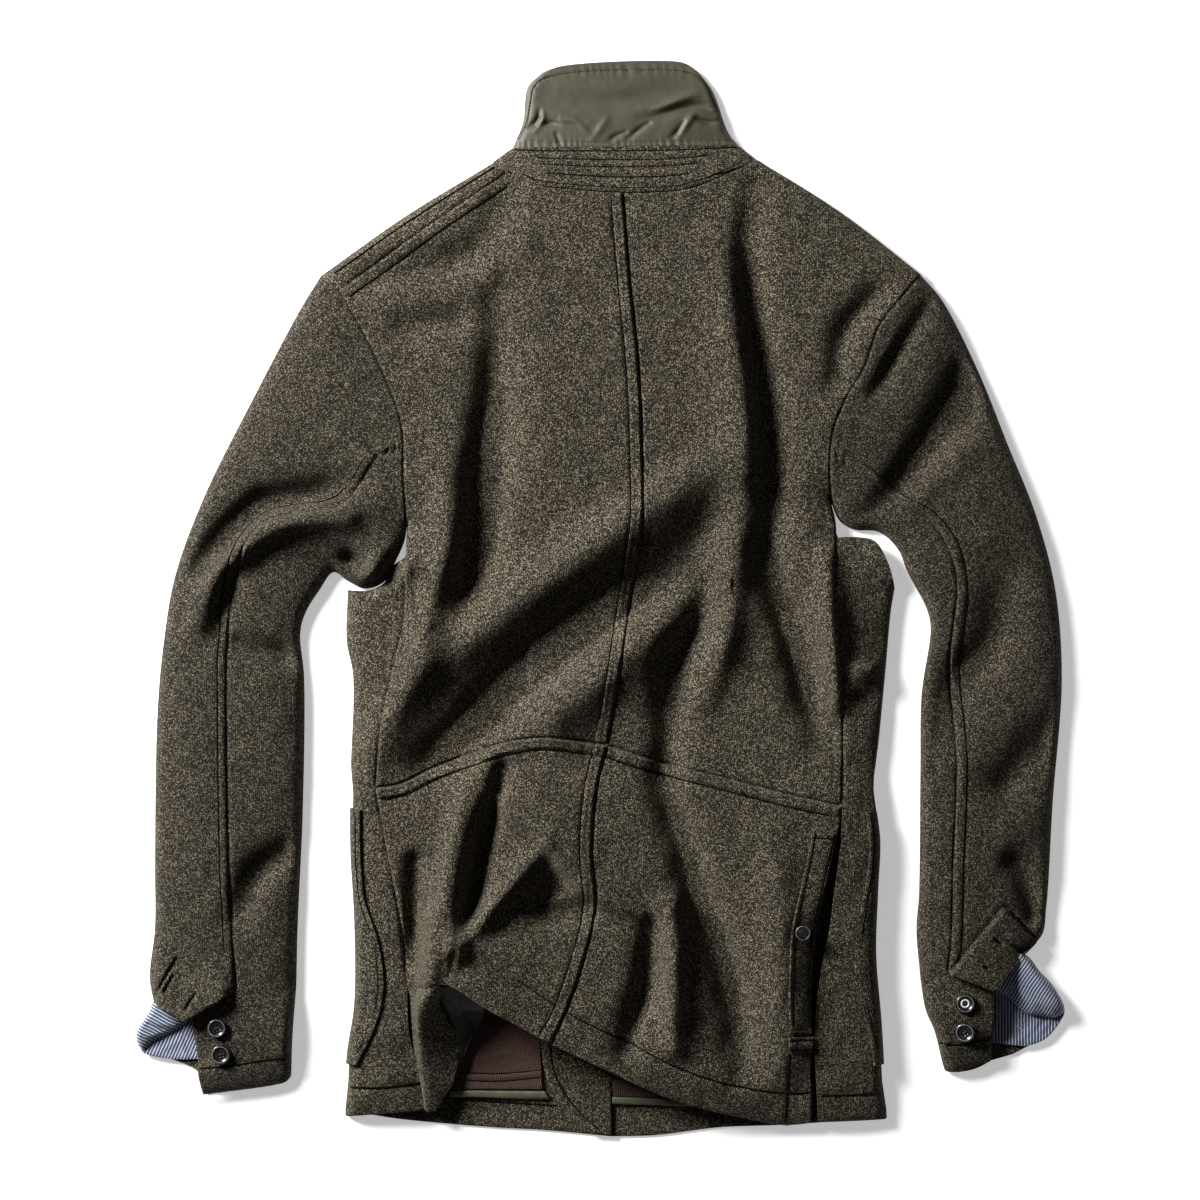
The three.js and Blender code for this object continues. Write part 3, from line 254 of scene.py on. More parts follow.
# each row: half width left and right of the path, then the path
folds = [
    (16, 14, [[-178, 253, -3], [-108, 270, -4], [-74, 317, -2]]),
    (12, 12, [[-155, 212, -3], [-116, 220, -3]]),
    (19, 14, [[-85, 236, -3], [-87, 154, -7], [-93, 115, -8.8], [-97, 61, -8.8], [-108, 22, -7.4],
              [-128, -9, -4]]),
    (15, 14, [[-122, 115, 2], [-124, 30, 6], [-134, -10, 7], [-155, -70, 6], [-180, -112, 2]]),
    (9, 9, [[-47, 274, -2], [0, 232, -2]]),
    (15, 10, [[113, 317, -2], [109, 270, -4], [113, 225, -5.4], [124, 154, -5.6], [129, 77, -5.6],
              [122, 38, -4]]),
    (15, 13, [[124, 30, -5], [147, -32, -7.6], [159, -78, -6.6], [167, -105, -3]]),
    (12, 18, [[90, 270, 2], [100, 193, 4], [106, 131, 4.6], [103, 77, 4.6], [98, 30, 3.4]]),
    (9, 9, [[170, 35, 3], [173, -20, 6], [176, -78, 4]]),
    (22, 18, [[93, 77, -3], [43, 17, -7], [4, -1, -9.6], [-35, -32, -9.6], [-74, -63, -9.6], [-112, -102, -8.6],
              [-155, -140, -3]]),
    (18, 18, [[78, 102, 3], [0, 50, 7], [-78, -5, 6], [-132, -47, 4]]),
    (22, 22, [[50, -5, 4], [16, -38, 6], [-40, -86, 7]]),
    (12, 14, [[80, 11, -4], [70, -16, -7], [54, -47, -7], [49, -109, -6], [46, -140, -6], [64, -195, -7],
              [74, -233, -8], [89, -272, -8], [99, -311, -7], [106, -360, -3]]),
    (12, 12, [[98, 15, 3], [90, -35, 5], [78, -70, 2]]),
    (10, 10, [[209, 239, -3], [184, 208, -4], [178, 170, -2]]),
    (15, 9, [[-78, -117, 2], [-93, -133, 6], [-106, -164, 10], [-113, -195, 14], [-121, -233, 17],
             [-128, -264, 21], [-134, -292, 25]]),
    (8, 8, [[-148, -200, -4], [-148, -250, -5], [-146, -290, -4]]),
    (8, 8, [[-80, -129, -4], [-97, -195, -8], [-107, -250, -6], [-112, -270, 2]]),
    (8, 34, [[46, -248, 0.5], [24, -240, 4], [2, -231, 8.4], [-22, -214, 12], [-39, -184, 12],
             [-70, -162, 9], [-82, -150, 4]]),
    (8, 10, [[-43, -190, 6], [-70, -222, 12], [-108, -264, 14]]),
    (12, 12, [[-36, -215, -4], [-50, -236, -6], [-20, -240, -4]]),
    (62, 9, [[-152, -292, 0], [-127, -295, 12], [-111, -298, 26], [-90, -312, 26], [-64, -327, 21],
             [-26, -347, 17], [8, -364, 13], [57, -387, 7], [105, -401, 2], [142, -409, 0]]),
    (16, 16, [[-150, -350, -3], [-128, -385, -4]]),
    (11, 11, [[36, -252, -4], [31, -295, -7], [16, -342, -4]]),
    (10, 10, [[50, -233, 4], [52, -290, 7], [52, -340, 4]]),
    (18, 16, [[128, -180, 2], [134, -250, 6], [136, -350, 4]]),
    (10, 12, [[-192, 94, -2], [-240, 80, -7], [-267, 76, -8], [-298, 46, -7], [-314, 26, -3]]),
    (10, 12, [[-200, 66, 4], [-250, 60, 7], [-280, 42, 6], [-300, 18, 5], [-318, -16, 2]]),
    (8, 8, [[-290, 22, -5], [-302, -24, -2]]),
    (12, 12, [[-244, -190, -3], [-271, -210, -6], [-283, -241, -3]]),
    (10, 10, [[-283, -32, -3], [-232, -46, -5]]),
    (14, 14, [[-160, 30, 6], [-178, 22, 8]]),
    (8, 8, [[-190, 30, -5], [-198, 33, -5]]),
    (18, 16, [[290, 205, -2], [271, 154, -8], [244, 108, -9], [221, 73, -8], [200, 57, -4]]),
    (14, 14, [[267, 119, 3], [232, 77, 7], [206, 56, 4]]),
    (7, 7, [[250, 232, -2], [221, 185, -4], [208, 163, -2]]),
    (18, 18, [[310, 22, -3], [298, -32, -6], [279, -55, -6], [267, -94, -3]]),
    (16, 16, [[349, -94, -2], [310, -140, -5]]),
    (12, 12, [[318, -202, -4], [336, -240, -5]]),
    (8, 8, [[196, -52, 3], [216, -54, 3]]),
    (6, 6, [[196, -74, -2], [214, -74, -2]]),
]
# small soft waves of the felt itself: wavelength, direction, phase and height
feltWaves = [(71, 0.4, 0.3, 0.35), (47, 1.3, 1.9, 0.3), (33, 2.2, 4.0, 0.24), (25, 0.9, 2.2, 0.18),
             (19, 2.8, 5.1, 0.12)]
pocketZone = {"top": -150, "bottom": -374, "ramp": 22, "left": -214, "right": 236}
facing = {"gap": 0.8, "left": -60.0, "right": 9.0, "ramp": 10.0}


def pocketLift(x, y):
    # rise of the body over the patch pockets below it, with straight ramps at their top and bottom
    z = pocketZone
    fromTop, fromBottom = (z["top"] + z["ramp"] - y) / z["ramp"], (y - z["bottom"] + z["ramp"]) / z["ramp"]
    within = np.clip(np.minimum(fromTop, fromBottom), 0, 1)
    return np.where((x > z["left"]) & (x < z["right"]), cloth["pocketStep"] * within, 0.0)


def frontTop(x, y):
    # upper face of all that lies under the back
    over = ease((x - facing["left"]) / facing["ramp"]) * ease(
        (facing["right"] + 1.6 * facing["ramp"] - x) / facing["ramp"])
    return cloth["wool"] + pocketLift(x, y) + (cloth["wool"] + facing["gap"]) * over


# the ends of the cuffs, each a run of its own
openEnds = [[[-240, -371], [-251, -377], [-308, -385]], [[-347, -313], [-361, -338], [-354, -352], [-314, -358]],
            [[268, -367], [277, -367], [303, -359]],
            [[327, -274], [357, -308], [361, -322], [332, -347], [305, -345]]]


def makeField():
    # outer height of the upper layer on an even grid: air under the cloth plus the folds, kept above frontTop
    step = cloth["fieldStep"]
    xs = np.arange(-372, 372 + step, step)
    ys = np.arange(-430, 430 + step, step)
    X, Y = np.meshgrid(xs, ys)
    edges = [smoothRun(run, 60) for run in (
        sleeveOuterLeft, sleeveInnerLeft, shoulderLeft, shoulderRight, sleeveOuterRight, sleeveInnerRight,
        sideLeft, sideRight, hemLeft, hemRight, *openEnds)]
    distance = np.full(X.shape, cloth["farthest"])
    for run in edges:
        for a, b in zip(run[:-1], run[1:]):
            reach = cloth["edgeReach"]
            i0, i1 = np.searchsorted(ys, [min(a[1], b[1]) - reach, max(a[1], b[1]) + reach])
            j0, j1 = np.searchsorted(xs, [min(a[0], b[0]) - reach, max(a[0], b[0]) + reach])
            part = (slice(i0, i1), slice(j0, j1))
            d = nearestOn(X[part], Y[part], np.array([a, b]))[0]
            distance[part] = np.minimum(distance[part], d)
    dome = cloth["domeRise"] * np.sqrt(1 - (1 - np.minimum(distance / cloth["domeReach"], 1)) ** 2)
    total = np.zeros(X.shape)
    for left, right, path in folds:
        run = smoothRun(path, 5 * len(path))
        low = max(abs(point[2]) for point in path) < cloth["tallFold"]
        run = run + (cloth["foldShift"] if low else (0, 0, 0))
        reach = 2.6 * max(left, right)
        i0, i1 = np.searchsorted(ys, [run[:, 1].min() - reach, run[:, 1].max() + reach])
        j0, j1 = np.searchsorted(xs, [run[:, 0].min() - reach, run[:, 0].max() + reach])
        part = (slice(i0, i1), slice(j0, j1))
        d, side, place, tall = nearestOn(X[part], Y[part], run)
        width = np.where(side > 0, left, right)
        gain = cloth["foldGain"] if low else 1.0
        total[part] += gain * tall * bell(d, width)
    free = ease(distance / cloth["foldFree"])
    for wave, angle, phase, tall in feltWaves:
        warp = 6 * np.sin(X / 83 + phase) + 5 * np.sin(Y / 67 - phase)
        along = (X + warp) * np.cos(angle) + (Y - warp) * np.sin(angle)
        total += tall * np.sin(2 * np.pi * along / wave + phase)
    lowest = frontTop(X, Y) + cloth["gap"] + cloth["wool"] + 0.4
    over = cloth["flatRise"] + pocketLift(X, Y) + dome + total * free - lowest
    blend = cloth["blend"]
    height = lowest + np.where(over > 0, np.hypot(over, blend), blend / (1 - np.minimum(over, 0))) - blend / 2
    return {"x": xs, "y": ys, "z": height}


field = makeField()
print("cloth height worked out")


def cubicWeights(t):
    # Catmull-Rom weights of four neighbours at a share t between the middle two
    return [((2 - t) * t - 1) * t / 2, ((3 * t - 5) * t * t + 2) / 2, ((4 - 3 * t) * t + 1) * t / 2,
            (t - 1) * t * t / 2]


def upper(x, y):
    # outer height of the upper layer at any place, read from the field with cubic weights both ways
    x, y = np.asarray(x, dtype=float), np.asarray(y, dtype=float)
    step = cloth["fieldStep"]
    fx, fy = (x - field["x"][0]) / step, (y - field["y"][0]) / step
    i = np.clip(np.floor(fy).astype(int), 1, len(field["y"]) - 3)
    j = np.clip(np.floor(fx).astype(int), 1, len(field["x"]) - 3)
    wx, wy = cubicWeights(fx - j), cubicWeights(fy - i)
    total = 0
    for a in range(4):
        for b in range(4):
            total = total + wy[a] * wx[b] * field["z"][i + a - 1, j + b - 1]
    return total


# seams and rows of stitching: a groove, a raised allowance beside it and a dented stitch line
def offsetRun(points, away, shares=80):
    # the run moved sideways by away mm, to its left where away is positive
    run = smoothRun(points, shares)
    along = unit(np.gradient(run, axis=0))
    return run[:, :2] + away * np.stack([-along[:, 1], along[:, 0]], axis=1)


hemBack = [[-63.6, -292], [-26.4, -317], [17.8, -339.5], [67.4, -364], [109, -376.7], [141.8, -381.3],
           [163.5, -381.3]]
# each row: run, side of the raised allowance (+1 left of the run, -1 right, 0 none), width, ridge and depth
seams = [
    (backSeamUpper, -1, 9.5, 1.3, 2.0), (backSeamLower, -1, 9.5, 1.3, 2.0), (waistLeft, -1, 8.5, 1.35, 1.9),
    (waistRight, -1, 8.5, 1.35, 1.9), (sideSeamLeft, 1, 6.0, 0.25, 1.5), (sideSeamLeftLow, 1, 6.0, 0.3, 1.5),
    (sideSeamRight, -1, 6.0, 0.25, 1.5), (armLeft, -1, 6.0, 0.2, 1.2), (armRight, 1, 6.0, 0.2, 1.2),
    (neckLine, 1, 5.0, 0.35, 1.5), (shoulderSeamLeft, -1, 8.0, 0.6, 1.3), (sleeveSeamLeft, -1, 6.5, 0.8, 1.7),
    (sleeveSeamRight, 1, 6.5, 0.8, 1.7), (hemBack, 0, 7.5, 0.75, 1.0),
    ([[171, -383.6], [195, -383.2], [221.5, -381.7]], 0, 7.5, 0.75, 1.1),
    ([[-198.4, -378], [-170, -377.4], [-138, -374.3]], 0, 7.5, 0.75, 1.1),
    ([[145.7, -349], [144.6, -375], [143.4, -407]], 0, 7.5, 0.75, 1.1),
]
seamRuns = [{"run": smoothRun(points, 60), "allowance": allowance, "width": width,
             "depth": depth, "ridge": ridge} for points, allowance, width, ridge, depth in seams]


def seamRelief(x, y):
    # change of height near the seams: -depth*exp(-(d/1.15)^2), plus a plateau of ridge mm on the allowance
    # side that puckers along the seam and is dented at both of its stitch lines
    total = np.zeros(x.shape)
    for seam in seamRuns:
        run = seam["run"]
        reach = seam["width"] + 8
        near = nearRun(x, y, run, reach)
        if not near.any():
            continue
        d, side, place = nearestOn(x[near], y[near], run)[:3]
        inside = ease((place + 0.01) / 3) * ease((runLength(run) - place + 0.01) / 3)
        change = -seam["depth"] * bell(d, 1.15)
        if seam["allowance"]:
            s = d * side * seam["allowance"]
            w = seam["width"]
            pucker = 1 + 0.22 * np.sin(place / 2.3 + 1.7 * np.sin(place / 9.1))
            plateau = ease(s / 2.2) * ease((w + 1.2 - s) / 2.4)
            change = change + seam["ridge"] * pucker * plateau
            change = change - 0.85 * seam["ridge"] * bell(s - w - 0.6, 1.0)
            change = change - 0.25 * seam["ridge"] * bell(s - w * 0.52, 1.0)
        total[near] += change * inside
    return total


# finishes
def newFinish(name):
    # a new material with its node tree, its shader and its texture coordinates
    material = bpy.data.materials.new(name)
    material.use_nodes = True
    tree = material.node_tree
    return material, tree, tree.nodes["Principled BSDF"], addNode(tree, "TexCoord").outputs


def addNode(tree, kind, inputs=None, **settings):
    node = tree.nodes.new("ShaderNode" + kind)
    for key, value in settings.items():
        setattr(node, key, value)
    for key, value in (inputs or {}).items():
        if isinstance(value, bpy.types.NodeSocket):
            tree.links.new(value, node.inputs[key])
        else:
            node.inputs[key].default_value = value
    return node


def maths(tree, operation, first, second=0.0, third=0.0):
    return addNode(tree, "Math", {0: first, 1: second, 2: third}, operation=operation).outputs[0]


def ramp(tree, factor, stops):
    # colour ramp from (place, (r, g, b)) stops
    node = addNode(tree, "ValToRGB", {"Fac": factor})
    while len(node.color_ramp.elements) < len(stops):
        node.color_ramp.elements.new(0.5)
    for element, (place, colour) in zip(node.color_ramp.elements, stops):
        element.position = place
        element.color = (*colour, 1.0)
    return node.outputs["Color"]


def noise(tree, place, scale, detail, **more):
    # a noise texture; more holds the names and values of its other inputs
    inputs = {"Vector": place, "Scale": scale, "Detail": detail, **more}
    return addNode(tree, "TexNoise", inputs).outputs


def clothAxes(tree, coords, turn=0.0):
    # the two ways of the cloth in mm, turned by an angle
    turned = addNode(tree, "Mapping", {"Vector": coords["UV"], "Rotation": (0.0, 0.0, turn),
                                       "Scale": (1000.0, 1000.0, 1.0)})
    apart = addNode(tree, "SeparateXYZ", {"Vector": turned.outputs[0]})
    return apart.outputs[0], apart.outputs[1]


def wave(tree, value, length, shape="SINE"):
    # a sine or cosine wave of the given length
    return maths(tree, shape, maths(tree, "MULTIPLY", value, 2 * np.pi / length))


def giveBump(tree, shader, height, strength, distance):
    # fine relief of the finish itself, distance in m
    bump = addNode(tree, "Bump", {"Height": height, "Strength": strength, "Distance": distance})
    tree.links.new(bump.outputs[0], shader.inputs["Normal"])


def blendColour(tree, factor, first, second, mode="MIX"):
    node = addNode(tree, "Mix", data_type="RGBA", blend_type=mode)
    for key, value in ((0, factor), (6, first), (7, second)):
        if isinstance(value, bpy.types.NodeSocket):
            tree.links.new(value, node.inputs[key])
        else:
            node.inputs[key].default_value = value
    return node.outputs[2]


woolFinish = {
    "dark": (0.0020, 0.0016, 0.0009), "low": (0.0060, 0.0048, 0.0028), "middle": (0.0140, 0.0115, 0.0070),
    "high": (0.0300, 0.0250, 0.0160), "fleck": (0.208, 0.176, 0.124),
    "fleckSize": 0.72, "clumpSize": 1.25, "fleckShare": 0.58, "clumpShare": 0.34, "tinyShare": 0.26,
    "wale": 1.75, "course": 1.5, "roughness": 0.95, "sheen": 0.10, "sheenColour": (0.55, 0.49, 0.38, 1.0), "bump": 0.9,
}


def makeWool(name, tone=1.0, turn=0.0):
    # felted heather knit: random flecks and fibres over a fine knit of wales and courses; a tone below 1 darkens the
    # whole colour as painted shade
    f = woolFinish
    material, tree, shader, coords = newFinish(name)
    inPlace = coords["Object"]
    warp = noise(tree, inPlace, 260.0, 2.0)
    shifted = addNode(tree, "VectorMath", {0: warp["Color"], 1: (0.0004, 0.0004, 0.0004)},
                      operation="MULTIPLY")
    place = addNode(tree, "VectorMath", {0: inPlace, 1: shifted.outputs[0]}, operation="ADD").outputs[0]
    cells = addNode(tree, "TexVoronoi", {"Vector": place, "Scale": 1000.0 / f["fleckSize"]})
    tiny = addNode(tree, "TexVoronoi", {"Vector": place, "Scale": 1000.0 / (0.62 * f["fleckSize"])})
    pick = addNode(tree, "SeparateColor", {"Color": cells.outputs["Color"]})
    pickTiny = addNode(tree, "SeparateColor", {"Color": tiny.outputs["Color"]})
    clump = noise(tree, place, 1000.0 / f["clumpSize"], 3.0, Roughness=0.65)
    value = maths(tree, "MULTIPLY", clump["Fac"], f["clumpShare"])
    value = maths(tree, "MULTIPLY_ADD", pick.outputs[0], f["fleckShare"], value)
    value = maths(tree, "MULTIPLY_ADD", pickTiny.outputs[1], f["tinyShare"], value)
    colour = ramp(tree, value, [(0.28, f["dark"]), (0.43, f["low"]), (0.57, f["middle"]), (0.71, f["high"]),
                                (0.86, f["fleck"])])
    # knit: V-shaped loops from a saw wave across the wales, turned by the courses; the colour darkens where the knit
    # is low, painted shade in the hollows between the loops
    u, v = clothAxes(tree, coords, turn)
    across = maths(tree, "PINGPONG", u, f["wale"] / 2)
    loops = wave(tree, maths(tree, "MULTIPLY_ADD", across, 0.9, v), f["course"])
    wales = wave(tree, u, f["wale"], "COSINE")
    knit = maths(tree, "MULTIPLY_ADD", loops, 0.5, maths(tree, "MULTIPLY", wales, -0.6))
    # painted shade: lighter on the knit's raised loops, darker in its hollows, times the tone
    shade = maths(tree, "MULTIPLY_ADD", knit, 0.13, tone)
    grey = addNode(tree, "CombineColor", {"Red": shade, "Green": shade, "Blue": shade})
    shaded = blendColour(tree, 1.0, colour, grey.outputs[0], "MULTIPLY")
    # wide, faint patches where the dye took more or less
    patch = noise(tree, inPlace, 22.0, 3.0)
    warm = ramp(tree, patch["Fac"], [(0.35, (0.93, 0.93, 0.93)), (0.65, (1.07, 1.06, 1.04))])
    shaded = blendColour(tree, 1.0, shaded, warm, "MULTIPLY")
    tree.links.new(shaded, shader.inputs["Base Color"])
    shader.inputs["Roughness"].default_value = f["roughness"]
    shader.inputs["Specular IOR Level"].default_value = 0.18
    shader.inputs["Sheen Weight"].default_value = f["sheen"]
    shader.inputs["Sheen Roughness"].default_value = 0.55
    shader.inputs["Sheen Tint"].default_value = f["sheenColour"]
    fibre = noise(tree, place, 1500.0, 2.0)
    height = maths(tree, "MULTIPLY_ADD", knit, 0.35, maths(tree, "MULTIPLY", fibre["Fac"], 1.2))
    height = maths(tree, "MULTIPLY_ADD", pick.outputs[1], 0.7, height)
    giveBump(tree, shader, height, f["bump"], 0.00035)
    return material


nylonFinish = {"colour": (0.036, 0.0315, 0.0178),
               "light": (0.052, 0.0462, 0.0272), "roughness": 0.5, "weave": 0.42}


def makeNylon(name, colour, light):
    # plain weave seen close up as two crossed fine waves, with soft tonal patches and a low gloss
    f = nylonFinish
    material, tree, shader, coords = newFinish(name)
    u, v = clothAxes(tree, coords)
    weave = maths(tree, "MULTIPLY", wave(tree, u, f["weave"]), wave(tree, v, f["weave"]))
    patch = noise(tree, coords["Object"], 90.0, 6.0, Roughness=0.6)
    tint = ramp(tree, patch["Fac"], [(0.3, colour), (0.72, light)])
    tree.links.new(tint, shader.inputs["Base Color"])
    shader.inputs["Roughness"].default_value = f["roughness"]
    shader.inputs["Specular IOR Level"].default_value = 0.4
    crinkle = noise(tree, coords["Object"], 160.0, 4.0)
    height = maths(tree, "MULTIPLY_ADD", weave, 0.10, maths(tree, "MULTIPLY", crinkle["Fac"], 1.6))
    giveBump(tree, shader, height, 0.35, 0.0006)
    return material


stripeFinish = {"navy": (0.034, 0.046, 0.094), "white": (0.52, 0.55, 0.62), "pitch": 2.35,
                "white share": 0.19}


def makeStripe(name):
    # a fine stripe across the UV's first direction, each white line thinner than the navy between, on a twill
    f = stripeFinish
    material, tree, shader, coords = newFinish(name)
    u, v = clothAxes(tree, coords)
    wobble = noise(tree, coords["Object"], 140.0, 2.0)
    shifted = maths(tree, "MULTIPLY_ADD", wobble["Fac"], 0.8, u)
    saw = maths(tree, "FRACT", maths(tree, "DIVIDE", shifted, f["pitch"]))
    line = ramp(tree, saw, [(0.0, f["navy"]), (0.30, f["navy"]), (0.36, f["white"]),
                            (0.36 + f["white share"], f["white"]), (0.42 + f["white share"], f["navy"])])
    twill = maths(tree, "SINE", maths(tree, "MULTIPLY", maths(tree, "ADD", u, v), 9.0))
    tree.links.new(line, shader.inputs["Base Color"])
    shader.inputs["Roughness"].default_value = 0.75
    shader.inputs["Sheen Weight"].default_value = 0.15
    giveBump(tree, shader, twill, 0.3, 0.0002)
    return material


liningFinish = {"dark": (0.018, 0.0082, 0.0058), "light": (0.098, 0.049, 0.036), "wale": 1.5, "course": 1.7}


def makeLining(name):
    # fine jersey: rounded wales across the UV's first direction with a heathered tint
    f = liningFinish
    material, tree, shader, coords = newFinish(name)
    u, v = clothAxes(tree, coords)
    wales, courses = wave(tree, u, f["wale"]), wave(tree, v, f["course"])
    grain = noise(tree, coords["Object"], 900.0, 4.0, Roughness=0.7)
    value = maths(tree, "MULTIPLY_ADD", wales, 0.05, grain["Fac"])
    value = maths(tree, "MULTIPLY_ADD", courses, 0.09, value)
    tree.links.new(ramp(tree, value, [(0.3, f["dark"]), (0.75, f["light"])]), shader.inputs["Base Color"])
    shader.inputs["Roughness"].default_value = 0.9
    shader.inputs["Sheen Weight"].default_value = 0.3
    shader.inputs["Specular IOR Level"].default_value = 0.2
    height = maths(tree, "MULTIPLY_ADD", grain["Fac"], 0.8, wales)
    giveBump(tree, shader, height, 0.6, 0.0003)
    return material


def makePlainFinish(name, dark, light, roughness, metallic=0.0, scale=300.0, coat=0.0):
    # horn, metal or thread: a faint cloudy tone and fine wear in its gloss
    material, tree, shader, coords = newFinish(name)
    cloud = noise(tree, coords["Object"], scale, 5.0, Distortion=1.2)
    tree.links.new(ramp(tree, cloud["Fac"], [(0.3, dark), (0.7, light)]), shader.inputs["Base Color"])
    rough = maths(tree, "MULTIPLY_ADD", cloud["Fac"], 0.2, roughness - 0.1)
    tree.links.new(rough, shader.inputs["Roughness"])
    shader.inputs["Metallic"].default_value = metallic
    shader.inputs["Specular IOR Level"].default_value = 0.08 if roughness > 0.6 else 0.5
    shader.inputs["Coat Weight"].default_value = coat
    shader.inputs["Coat Roughness"].default_value = 0.15
    giveBump(tree, shader, cloud["Fac"], 0.15, 0.0002)
    return material


finishes = {
    "wool": makeWool("felted wool"),
    "woolTurned": makeWool("felted wool, cut across", turn=np.pi / 2),
    # the sleeves and cuffs take the same felt at 0.74 of its colour: painted shade, as on cloth turned away from the
    # light
    "woolShadedSleeve": makeWool("felted wool, sleeves, painted shade", tone=0.74),
    "nylon": makeNylon("olive nylon", nylonFinish["colour"], nylonFinish["light"]),
    "darkNylon": makeNylon("dark green nylon", (0.030, 0.037, 0.026), (0.050, 0.058, 0.042)),
    "binding": makeNylon("binding ribbon", (0.062, 0.064, 0.040), (0.098, 0.100, 0.066)),
    "stripe": makeStripe("striped lining"),
    "lining": makeLining("red-brown jersey"),
    "horn": makePlainFinish("dark horn", (0.003, 0.003, 0.003), (0.011, 0.011, 0.012), 0.28, coat=0.5),
    # light grey rims of the buttons and the snap cap: a painted highlight on their polished edge
    "hornRimHighlight": makePlainFinish("horn rim with painted highlight", (0.10, 0.10, 0.10), (0.30, 0.30, 0.30), 0.30, coat=0.5),
    "snap": makePlainFinish("dark snap metal", (0.020, 0.020, 0.022), (0.055, 0.053, 0.05), 0.38, metallic=0.8),
    "pearl": makePlainFinish("pale button ring", (0.50, 0.50, 0.50), (0.78, 0.78, 0.76), 0.35, coat=0.4),
}
threads = {  # material name, darker and lighter tone, roughness
    # the olive thread is darker than the wool: partly its own colour, partly painted shade of the dents it lies in
    "thread": ("olive thread darkened with painted shade", (0.0022, 0.0018, 0.0010), (0.0048, 0.0040, 0.0024), 0.9),
    "nylonThread": ("olive nylon thread", (0.010, 0.009, 0.005), (0.018, 0.016, 0.009), 0.8),
    "liningThread": ("brown thread", (0.008, 0.004, 0.003), (0.016, 0.008, 0.006), 0.8),
    "whiteThread": ("white thread", (0.5, 0.52, 0.56), (0.7, 0.72, 0.75), 0.8),
    "buttonThread": ("dark button thread", (0.02, 0.02, 0.022), (0.06, 0.06, 0.06), 0.7),
}
for thread, looks in threads.items():
    finishes[thread] = makePlainFinish(*looks, scale=900.0)
print("finishes made")

# closed shells of cloth
def gridNormals(grid):
    # unit normals of a grid of points, from its differences along both ways
    return unit(np.cross(np.gradient(grid, axis=1), np.gradient(grid, axis=0)))


def arcs(grid, axis):
    # length along the rows (axis 1) or columns (axis 0) from the first point, in mm
    steps = np.linalg.norm(np.diff(grid, axis=axis), axis=-1)
    pad = [(0, 0), (0, 0)]
    pad[axis] = (1, 0)
    return np.cumsum(np.pad(steps, pad), axis=axis)


def rowLength(rows):
    # the whole length of each row
    return arcs(rows, 1)[:, -1]


def fromEdge(grid, edge):
    # distance of each point from a named edge of the grid, measured along its rows or columns
    way = arcs(grid, 0 if edge in ("top", "bottom") else 1)
    return {"top": way, "left": way, "bottom": way[-1:] - way, "right": way[:, -1:] - way}[edge]


def meshFromArrays(name, points, quads, uvs, finish):
    # a mesh object at the origin from points in mm, faces of four corners and one UV a point
    mesh = bpy.data.meshes.new(name)
    mesh.vertices.add(len(points))
    mesh.vertices.foreach_set("co", (points * mm).astype(np.float32).ravel())
    mesh.loops.add(quads.size)
    mesh.loops.foreach_set("vertex_index", quads.astype(np.int32).ravel())
    mesh.polygons.add(len(quads))
    mesh.polygons.foreach_set("loop_start", np.arange(0, quads.size, 4, dtype=np.int32))
    mesh.polygons.foreach_set("loop_total", np.full(len(quads), 4, dtype=np.int32))
    mesh.update(calc_edges=True)
    layer = mesh.uv_layers.new(name="cloth")
    layer.data.foreach_set("uv", (uvs[quads.ravel()] * mm).astype(np.float32).ravel())
    mesh.polygons.foreach_set("use_smooth", np.ones(len(quads), dtype=bool))
    mesh.materials.append(finishes[finish])
    mesh.validate()
    thing = bpy.data.objects.new(name, mesh)
    bpy.context.scene.collection.objects.link(thing)
    return thing


def shellQuads(rows, cols):
    # faces of a closed shell: its outer grid, its inner grid turned round, and its four rims
    i, j = np.meshgrid(np.arange(rows - 1), np.arange(cols - 1), indexing="ij")
    a = (i * cols + j).ravel()
    size = rows * cols
    outer = np.stack([a, a + cols, a + cols + 1, a + 1], axis=1)
    inner = outer[:, ::-1] + size
    top = np.arange(cols - 1)
    low = (rows - 1) * cols + top
    left = np.arange(rows - 1) * cols
    right = left + cols - 1
    rims = [np.stack([top, top + 1, top + 1 + size, top + size], axis=1),
            np.stack([low + 1, low, low + size, low + 1 + size], axis=1),
            np.stack([left + cols, left, left + size, left + cols + size], axis=1),
            np.stack([right, right + cols, right + cols + size, right + size], axis=1)]
    return np.vstack([outer, inner] + rims)


def signedVolume(points, quads):
    # the sum of a.(b x c)/6 over the two triangles of each face: above 0 where the faces look outward
    a, b, c, d = (points[quads[:, k]] for k in range(4))
    return (np.einsum("ij,ij->i", a, np.cross(b, c)) + np.einsum("ij,ij->i", a, np.cross(c, d))).sum() / 6


def declare(thing, nodes):
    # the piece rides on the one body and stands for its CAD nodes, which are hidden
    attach(thing, "root")
    if nodes:
        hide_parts(*nodes)


pieceCuts = {}


